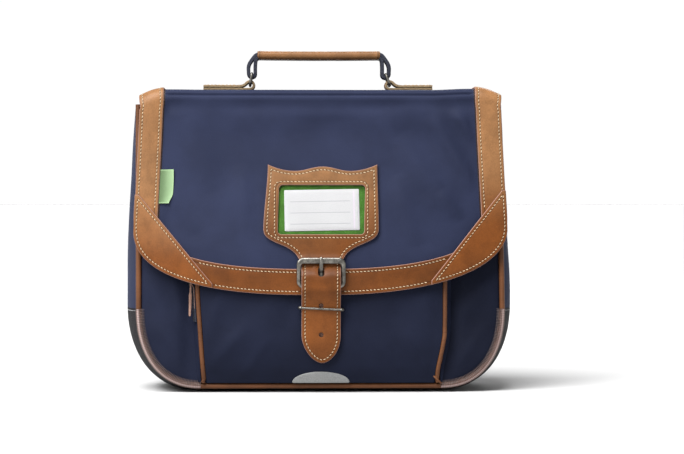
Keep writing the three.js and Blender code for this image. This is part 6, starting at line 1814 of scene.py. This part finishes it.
def make_handle(context):
    look, finish = kit(context)
    x = GRIP_SHIFT + GRIP_LENGTH / 2 * np.sin(np.radians(np.linspace(-90, 90, 81)))
    ends = (GRIP_LENGTH / 2 - np.abs(x - GRIP_SHIFT))
    size = 1 - 0.1 * np.exp(-ends / 0.5)
    angle = circle(48)
    up = GRIP_HEIGHT / 2 * signed_power(np.cos(angle), 0.78)
    deep = GRIP_DEPTH / 2 * signed_power(np.sin(angle), 0.78)
    seam = 0.5 * bell(angle, 3.45, 0.05)
    wave = 0.1 * ripples(x[:, None] + 0 * angle, angle[None, :] * 6, 14, 46, 9)
    scale = size[:, None] * (1 + (wave - seam) * 0.05)
    bow = 0.35 * (1 - ((x - GRIP_SHIFT) / (GRIP_LENGTH / 2)) ** 2)
    rings = points(x[:, None], deep * scale, FLAP_TOP + GRIP_RISE - bow[:, None] + up * scale)
    near_end = np.minimum(ends[:, None], 9.0) + 0 * angle
    sweep(rings, edge=np.where(near_end < 0.02, 0.0, near_end + 0.9)).dress("handle_grip", finish["leather"])

    tab_seams = Shell()
    for name, sign in SIDES:
        top_x, top_z = ring_top(sign)
        half = LOOP_WEB_WIDTH / 2 + 2 * CLEARANCE + RING_RADIUS
        lean = math.atan2(top_x - RING_LOW_X, top_z - RING_LOW_Z)
        loop = rectangle(2 * half, RING_SPAN, RING_CORNER, 8, 4)
        rise = loop[:, 1] + RING_SPAN / 2
        line = points(
            sign * (RING_LOW_X + rise * math.sin(lean)), loop[:, 0], FLAP_TOP + RING_LOW_Z + rise * math.cos(lean),
        )
        shell = sweep(tube_rings(line, RING_RADIUS, (1, 0, 0), 16, closed=True), closed=True)
        shell.dress(f"handle_ring_{name}", finish["metal"])

        start = sign * GRIP_SHIFT + GRIP_LENGTH / 2 - 0.6
        turn = RING_RADIUS + CLEARANCE + LOOP_WEB_WALL / 2
        layer, bulge = 0.25 * GRIP_HEIGHT, 0.5 * LOOP_WEB_WALL
        angle = np.radians(-180 * np.linspace(0, 1, 13))[1:-1]
        line = np.concatenate([
            [[start, GRIP_RISE + 0.4 * layer], [start + 0.7 * LOOP_WEB_WALL, GRIP_RISE + 0.1 * layer],
             [start + 1.7 * LOOP_WEB_WALL, lerp(GRIP_RISE, top_z, 0.22)],
             [top_x + turn + 0.2 * bulge, lerp(GRIP_RISE, top_z, 0.55)], [top_x + turn, top_z]],
            points(top_x + turn * np.cos(angle), top_z + turn * np.sin(angle)),
            [[top_x - turn, top_z], [start + 0.85 * LOOP_WEB_WALL, lerp(GRIP_RISE, top_z, 0.6)],
             [start + 0.7 * LOOP_WEB_WALL, GRIP_RISE - 1.6 * layer], [start, GRIP_RISE - 1.15 * layer]],
        ])
        shell = cross_strip(rounded(line), LOOP_WEB_WIDTH, LOOP_WEB_WALL, sign)
        shell.dress(f"handle_web_{name}", finish["webbing"])

        middle = TAB_LOOP_RADIUS + TAB_WALL / 2
        outer_x = TAB_INNER + TAB_LENGTHS[sign]
        lower = CLEARANCE + TAB_WALL / 2
        upper = lower + TAB_WALL + CLEARANCE * 0.6
        loop_end = RING_LOW_X + 2.6 * TAB_LOOP_RADIUS
        angle = np.radians(-90 - 180 * np.linspace(0, 1, 13))[1:-1]
        line = np.concatenate([
            [[outer_x, lower], [lerp(outer_x, loop_end, 0.5), lower], [RING_LOW_X, lower]],
            points(RING_LOW_X + middle * np.cos(angle), RING_LOW_Z + middle * np.sin(angle)),
            [[RING_LOW_X, RING_LOW_Z + middle], [RING_LOW_X + 0.9 * TAB_LOOP_RADIUS, RING_LOW_Z + 0.82 * middle],
             [lerp(RING_LOW_X, loop_end, 0.75), lerp(RING_LOW_Z + middle, upper, 0.72)],
             [loop_end + TAB_WALL, upper], [lerp(outer_x, loop_end, 0.5), upper + 0.15], [outer_x, upper + 0.25]],
        ])
        line = resample(rounded(line), spacing=0.9)
        line[:, 1] += 0.12 * np.sin(line[:, 0] * 0.9 + sign) * ease(line[:, 0], loop_end, loop_end + 8)
        shell = cross_strip(line, TAB_WIDTH, TAB_WALL, sign)
        shell.dress(f"handle_tab_{name}", finish["suede"])
        box = rectangle(outer_x - loop_end - 9, TAB_WIDTH - 5, 1.2, 3, 1) + [(outer_x + loop_end) / 2 + 2.6, 0]
        box = resample(joined(box), spacing=1.0)
        top = points(sign * box[:, 0], box[:, 1], FLAP_TOP + upper + TAB_WALL / 2 + 0.1 + 0 * box[:, 0])
        stitches(tab_seams, top, np.tile([0.0, 0.0, 1.0], (len(top), 1)), *sewing(look))
    tab_seams.build("tab_stitches", finish["stitch"])


# Carrying straps

def shoulder_spot(sign, drop):
    bow = SHOULDER_BOW * follow(SHOULDER_BOWS, drop)
    yoke_face = BACK_FACE + CLEARANCE + LEATHER
    return points(
        sign * (SHOULDER_INSET + SHOULDER_SPREAD * follow(SHOULDER_SPREADS, drop)),
        np.maximum(yoke_face + CLEARANCE + SHOULDER_WALL / 2, BACK_FACE + bow),
        lerp(SHOULDER_TOP, SHOULDER_BOTTOM, drop),
    )


def strip_axes(direction):
    across = unit(np.cross([0.0, 1.0, 0.0], direction))
    return across, unit(np.cross(direction, across))


def shoulder_frame(sign, drop):
    drop = np.asarray(drop, float)
    ahead, behind = shoulder_spot(sign, np.minimum(1, drop + 0.03)), shoulder_spot(sign, np.maximum(0, drop - 0.03))
    direction = unit(ahead - behind)
    return (shoulder_spot(sign, drop), direction, *strip_axes(direction))


def on_back(x, z, lift):
    return points(x, BACK_FACE + lift, z)


def make_back_leather(context):
    look, finish = kit(context)
    seams = Shell()
    yoke = rectangle(2 * YOKE_HALF_WIDTH, YOKE_HEIGHT, YOKE_HEIGHT / 4, 6, 1) + [0, YOKE_TOP - YOKE_HEIGHT / 2]
    shapes = [("strap_yoke", yoke)]
    for name, sign in SIDES:
        anchor = rectangle(ANCHOR_SIZE, ANCHOR_SIZE, ANCHOR_SIZE / 6, 5, 1) + [sign * ANCHOR_INSET, ANCHOR_HEIGHT]
        shapes.append((f"strap_anchor_{name}", anchor))
    for node, loop in shapes:
        loop = turned(resample(joined(loop), spacing=1.6)[:-1])
        shell = plate([loop], on_back, CLEARANCE, CLEARANCE + LEATHER, 0.6, 3.0, groove=look.seam_inset)
        shell.dress(node, finish["leather"])
        flat_stitches(seams, inset_line(loop, look.seam_inset), on_back, CLEARANCE + LEATHER - SEAM_SINK, look)
    seams.build("back_stitches", finish["stitch"])


def make_straps(context):
    finish = finishes(context)
    seams = Shell()
    for name, sign in SIDES:
        drop = np.linspace(0, 1, 90)
        middle, _, across, outward = shoulder_frame(sign, drop)
        width = SHOULDER_WIDTH * (1 - 0.3 * ease(drop, 0.8, 1)) * 0.96
        angle = circle(44)
        side = signed_power(np.cos(angle), 0.55)
        face = signed_power(np.sin(angle), 0.85)
        thick = (0.96 * SHOULDER_WALL) * (1 - 0.45 * np.exp(-drop / 0.02) - 0.35 * np.exp(-(1 - drop) / 0.02))
        puff = 1 - 0.45 * np.abs(side) ** 6
        waves = 0.03 * ripples(drop[:, None] * 150, side[None, :] * 20, 20, 60, 31 if sign > 0 else 33)
        rings = (
            middle[:, None]
            + (side[None, :] * width[:, None] / 2)[..., None] * across[:, None]
            + (face * puff * (thick[:, None] / 2) * (1 + waves))[..., None] * outward[:, None]
        )
        shell = sweep(rings, u=lengths(middle), v=np.cumsum(np.full(44, 2.4)))
        piece = shell.dress(f"shoulder_strap_{name}", finish["nylon"])
        for edge in (-1, 1):
            line = middle + across * (edge * (width / 2 - 0.4))[:, None]
            rings = strip_rings(line, across, outward, rectangle(2.6, 5.4, 1.25, 4, 1))
            shell = sweep(rings)
            side_name = "inner" if edge * sign < 0 else "outer"
            shell.build(f"strap_binding_{side_name}_{name}", finish["webbing"])
            for face_sign in (1, -1):
                line = middle + across * (edge * (width / 2 - 5.0))[:, None]
                line = line + outward * (face_sign * 0.46 * thick)[:, None]
                stitches(seams, line[3:-3], face_sign * outward[3:-3], *STRAP_STITCH)

        spot, direction, across, outward = (a[0] for a in shoulder_frame(sign, np.array([1.0])))
        slot_height = (ADJUSTER_HEIGHT - 3 * ADJUSTER_BAR) / 2
        pitch = (slot_height + ADJUSTER_BAR) / 2
        centre = spot + direction * (ADJUSTER_HEIGHT / 2 + CLEARANCE)
        place = lambda x, z, h: centre + x[:, None] * across - z[:, None] * direction + h[:, None] * outward
        loops = [rectangle(WEB_WIDTH + 2 * ADJUSTER_BAR, ADJUSTER_HEIGHT, ADJUSTER_BAR, 6, 2)]
        loops += [rectangle(WEB_WIDTH, slot_height, slot_height / 3, 4, 2) + [0, lift] for lift in (pitch, -pitch)]
        half = ADJUSTER_THICKNESS / 2
        shell = plate(loops, place, -half, half, 0.7, 2.0)
        shell.dress(f"strap_adjuster_{name}", finish["metal"])

        start = spot + direction * (ADJUSTER_HEIGHT - ADJUSTER_BAR + 1.0)
        end = np.array([
            sign * ANCHOR_INSET, BACK_FACE + 2 * CLEARANCE + LEATHER + WEB_WALL / 2, ANCHOR_HEIGHT - 0.3 * ANCHOR_SIZE,
        ])
        reach = float(np.linalg.norm(end - start)) / 3
        second, third = start + direction * reach, end + [-sign * 0.3 * reach, 0, reach]
        t = np.linspace(0, 1, 60)[:, None]
        line = (1 - t) ** 3 * start + 3 * (1 - t) ** 2 * t * second + 3 * (1 - t) * t**2 * third + t**3 * end
        web_across, web_out = strip_axes(along(line))
        section, _ = strap_section(WEB_WIDTH, WEB_WALL, 0.0)
        shell = sweep(strip_rings(line, web_across, web_out, section - [WEB_WIDTH / 2, WEB_WALL / 2]))
        shell.dress(f"strap_webbing_{name}", finish["webbing"])
    seams.build("strap_stitches", finish["dark_stitch"])


# Stage

def aim_at(thing, place, aim):
    thing.location = place
    thing.rotation_euler = (Vector(aim) - Vector(place)).to_track_quat("-Z", "Y").to_euler()


def softbox(scene, name, place, size, power):
    light = bpy.data.lights.new(name, "AREA")
    light.shape, light.size, light.size_y, light.energy = "RECTANGLE", size[0], size[1], power
    lamp = bpy.data.objects.new(name, light)
    scene.collection.objects.link(lamp)
    aim_at(lamp, place, AIM)


def make_sky(scene):
    """Studio surroundings: white at the horizon, dimmer above."""
    world = scene.world or bpy.data.worlds.new("studio")
    scene.world = world
    world.use_nodes = True
    nodes, link = world.node_tree.nodes, world.node_tree.links.new
    background = next(n for n in nodes if n.type == "BACKGROUND")
    where, split, height = (nodes.new("ShaderNode" + kind) for kind in ("TexCoord", "SeparateXYZ", "MapRange"))
    link(where.outputs["Generated"], split.inputs[0])
    link(split.outputs["Z"], height.inputs["Value"])
    for name, value in (("From Min", 0.12), ("From Max", 0.4), ("To Min", 1.02), ("To Max", 0.3)):
        height.inputs[name].default_value = value
    link(height.outputs[0], background.inputs["Strength"])
    background.inputs["Color"].default_value = (1.0, 1.0, 1.0, 1.0)


def make_stage(context):
    span = np.linspace(-1, 1, 41) * 60000
    gx, gy = np.meshgrid(span, span)
    shell = sheet_shell(points(gx, gy, -0.05 + 0 * gx), points(gx, gy, -20.0 + 0 * gx), span, span)
    floor = shell.build("studio_floor", finishes(context)["paper"], sharp=0)

    scene = context.scene
    scene.view_settings.view_transform = "Standard"
    make_sky(scene)
    sun = bpy.data.lights.new("key", "SUN")
    sun.energy, sun.angle = SUN_POWER, math.radians(SUN_WIDTH)
    lamp = bpy.data.objects.new("key", sun)
    scene.collection.objects.link(lamp)
    aim_at(lamp, SUN_PLACE, AIM)
    softbox(scene, "upper softbox", (-0.75, -1.0, 0.85), (0.6, 0.5), 15)
    softbox(scene, "back softbox", (0.4, 2.2, 1.6), (1.5, 1.0), 20)

    data = bpy.data.cameras.new("camera")
    camera = bpy.data.objects.new("camera", data)
    scene.collection.objects.link(camera)
    data.sensor_width, data.lens = SENSOR, LENS
    data.clip_start, data.clip_end = 0.05, 100.0
    front = -BODY_DEPTH / 2000 + SHIFT[1] / 1000
    aim_at(camera, (-0.03, front - CAMERA_AWAY, 0.17), (0.0186, front, 0.1446))
    scene.camera = camera


# Operators

class RanselOperator:
    """What the operators share: each runs its makers in turn."""

    bl_options = {"REGISTER", "UNDO"}
    makers = ()

    def execute(self, context):
        for maker in self.makers:
            maker(context)
        return {"FINISHED"}


class RANSEL_OT_body(RanselOperator, bpy.types.Operator):
    """Make the cloth body: gussets, wear cloth and panels"""

    bl_idname, bl_label = "ransel.body", "Body"
    makers = (make_gussets, make_panels)


class RANSEL_OT_piping(RanselOperator, bpy.types.Operator):
    """Make the cords along the body's seams"""

    bl_idname, bl_label = "ransel.piping", "Piping"
    makers = (make_piping,)


class RANSEL_OT_pocket(RanselOperator, bpy.types.Operator):
    """Make the front pocket with its cords and reflector"""

    bl_idname, bl_label = "ransel.pocket", "Pocket"
    makers = (make_pocket,)


class RANSEL_OT_zip(RanselOperator, bpy.types.Operator):
    """Make the pocket's zip, slider and leather pull"""

    bl_idname, bl_label = "ransel.zip", "Zip"
    makers = (make_zip,)


class RANSEL_OT_flap(RanselOperator, bpy.types.Operator):
    """Make the cloth of the flap"""

    bl_idname, bl_label = "ransel.flap", "Flap"
    makers = (make_flap,)


class RANSEL_OT_bands(RanselOperator, bpy.types.Operator):
    """Make the flap's leather bands, corner patches and side tag"""

    bl_idname, bl_label = "ransel.bands", "Bands and patches"
    makers = (make_bands,)


class RANSEL_OT_shield(RanselOperator, bpy.types.Operator):
    """Make the shield with its strap, and the name card"""

    bl_idname, bl_label = "ransel.shield", "Shield and card"
    makers = (make_shield, make_card)


class RANSEL_OT_buckle(RanselOperator, bpy.types.Operator):
    """Make the buckle, its prong and the keeper"""

    bl_idname, bl_label = "ransel.buckle", "Buckle"
    makers = (make_buckle,)


class RANSEL_OT_handle(RanselOperator, bpy.types.Operator):
    """Make the handle with its webbing, rings and tabs"""

    bl_idname, bl_label = "ransel.handle", "Handle"
    makers = (make_handle,)


class RANSEL_OT_straps(RanselOperator, bpy.types.Operator):
    """Make the carrying straps on the back"""

    bl_idname, bl_label = "ransel.straps", "Carrying straps"
    makers = (make_back_leather, make_straps)


class RANSEL_OT_stage(RanselOperator, bpy.types.Operator):
    """Make the floor, the lights and the camera"""

    bl_idname, bl_label = "ransel.stage", "Stage"
    makers = (make_stage,)


OPERATORS = (
    RANSEL_OT_body, RANSEL_OT_piping, RANSEL_OT_pocket, RANSEL_OT_zip, RANSEL_OT_flap, RANSEL_OT_bands,
    RANSEL_OT_shield, RANSEL_OT_buckle, RANSEL_OT_handle, RANSEL_OT_straps, RANSEL_OT_stage,
)


class RANSEL_PT_panel(bpy.types.Panel):
    """The ransel's pieces and settings"""

    bl_idname, bl_label = "RANSEL_PT_panel", "Ransel"
    bl_space_type, bl_region_type, bl_category = "VIEW_3D", "UI", "Ransel"

    def draw(self, context):
        layout = self.layout
        for operator in OPERATORS:
            layout.operator(operator.bl_idname)
        for group in (context.scene.ransel_sizes, context.scene.ransel_colours):
            box = layout.box()
            for name in group.__annotations__:
                box.prop(group, name)


CLASSES = (RanselSizes, RanselColours, *OPERATORS, RANSEL_PT_panel)


def register():
    for cls in CLASSES:
        bpy.utils.register_class(cls)
    bpy.types.Scene.ransel_sizes = PointerProperty(type=RanselSizes)
    bpy.types.Scene.ransel_colours = PointerProperty(type=RanselColours)


def unregister():
    del bpy.types.Scene.ransel_colours
    del bpy.types.Scene.ransel_sizes
    for cls in reversed(CLASSES):
        bpy.utils.unregister_class(cls)


def main():
    register()
    for operator in OPERATORS:
        group, name = operator.bl_idname.split(".")
        getattr(getattr(bpy.ops, group), name)()


if __name__ == "__main__":
    main()
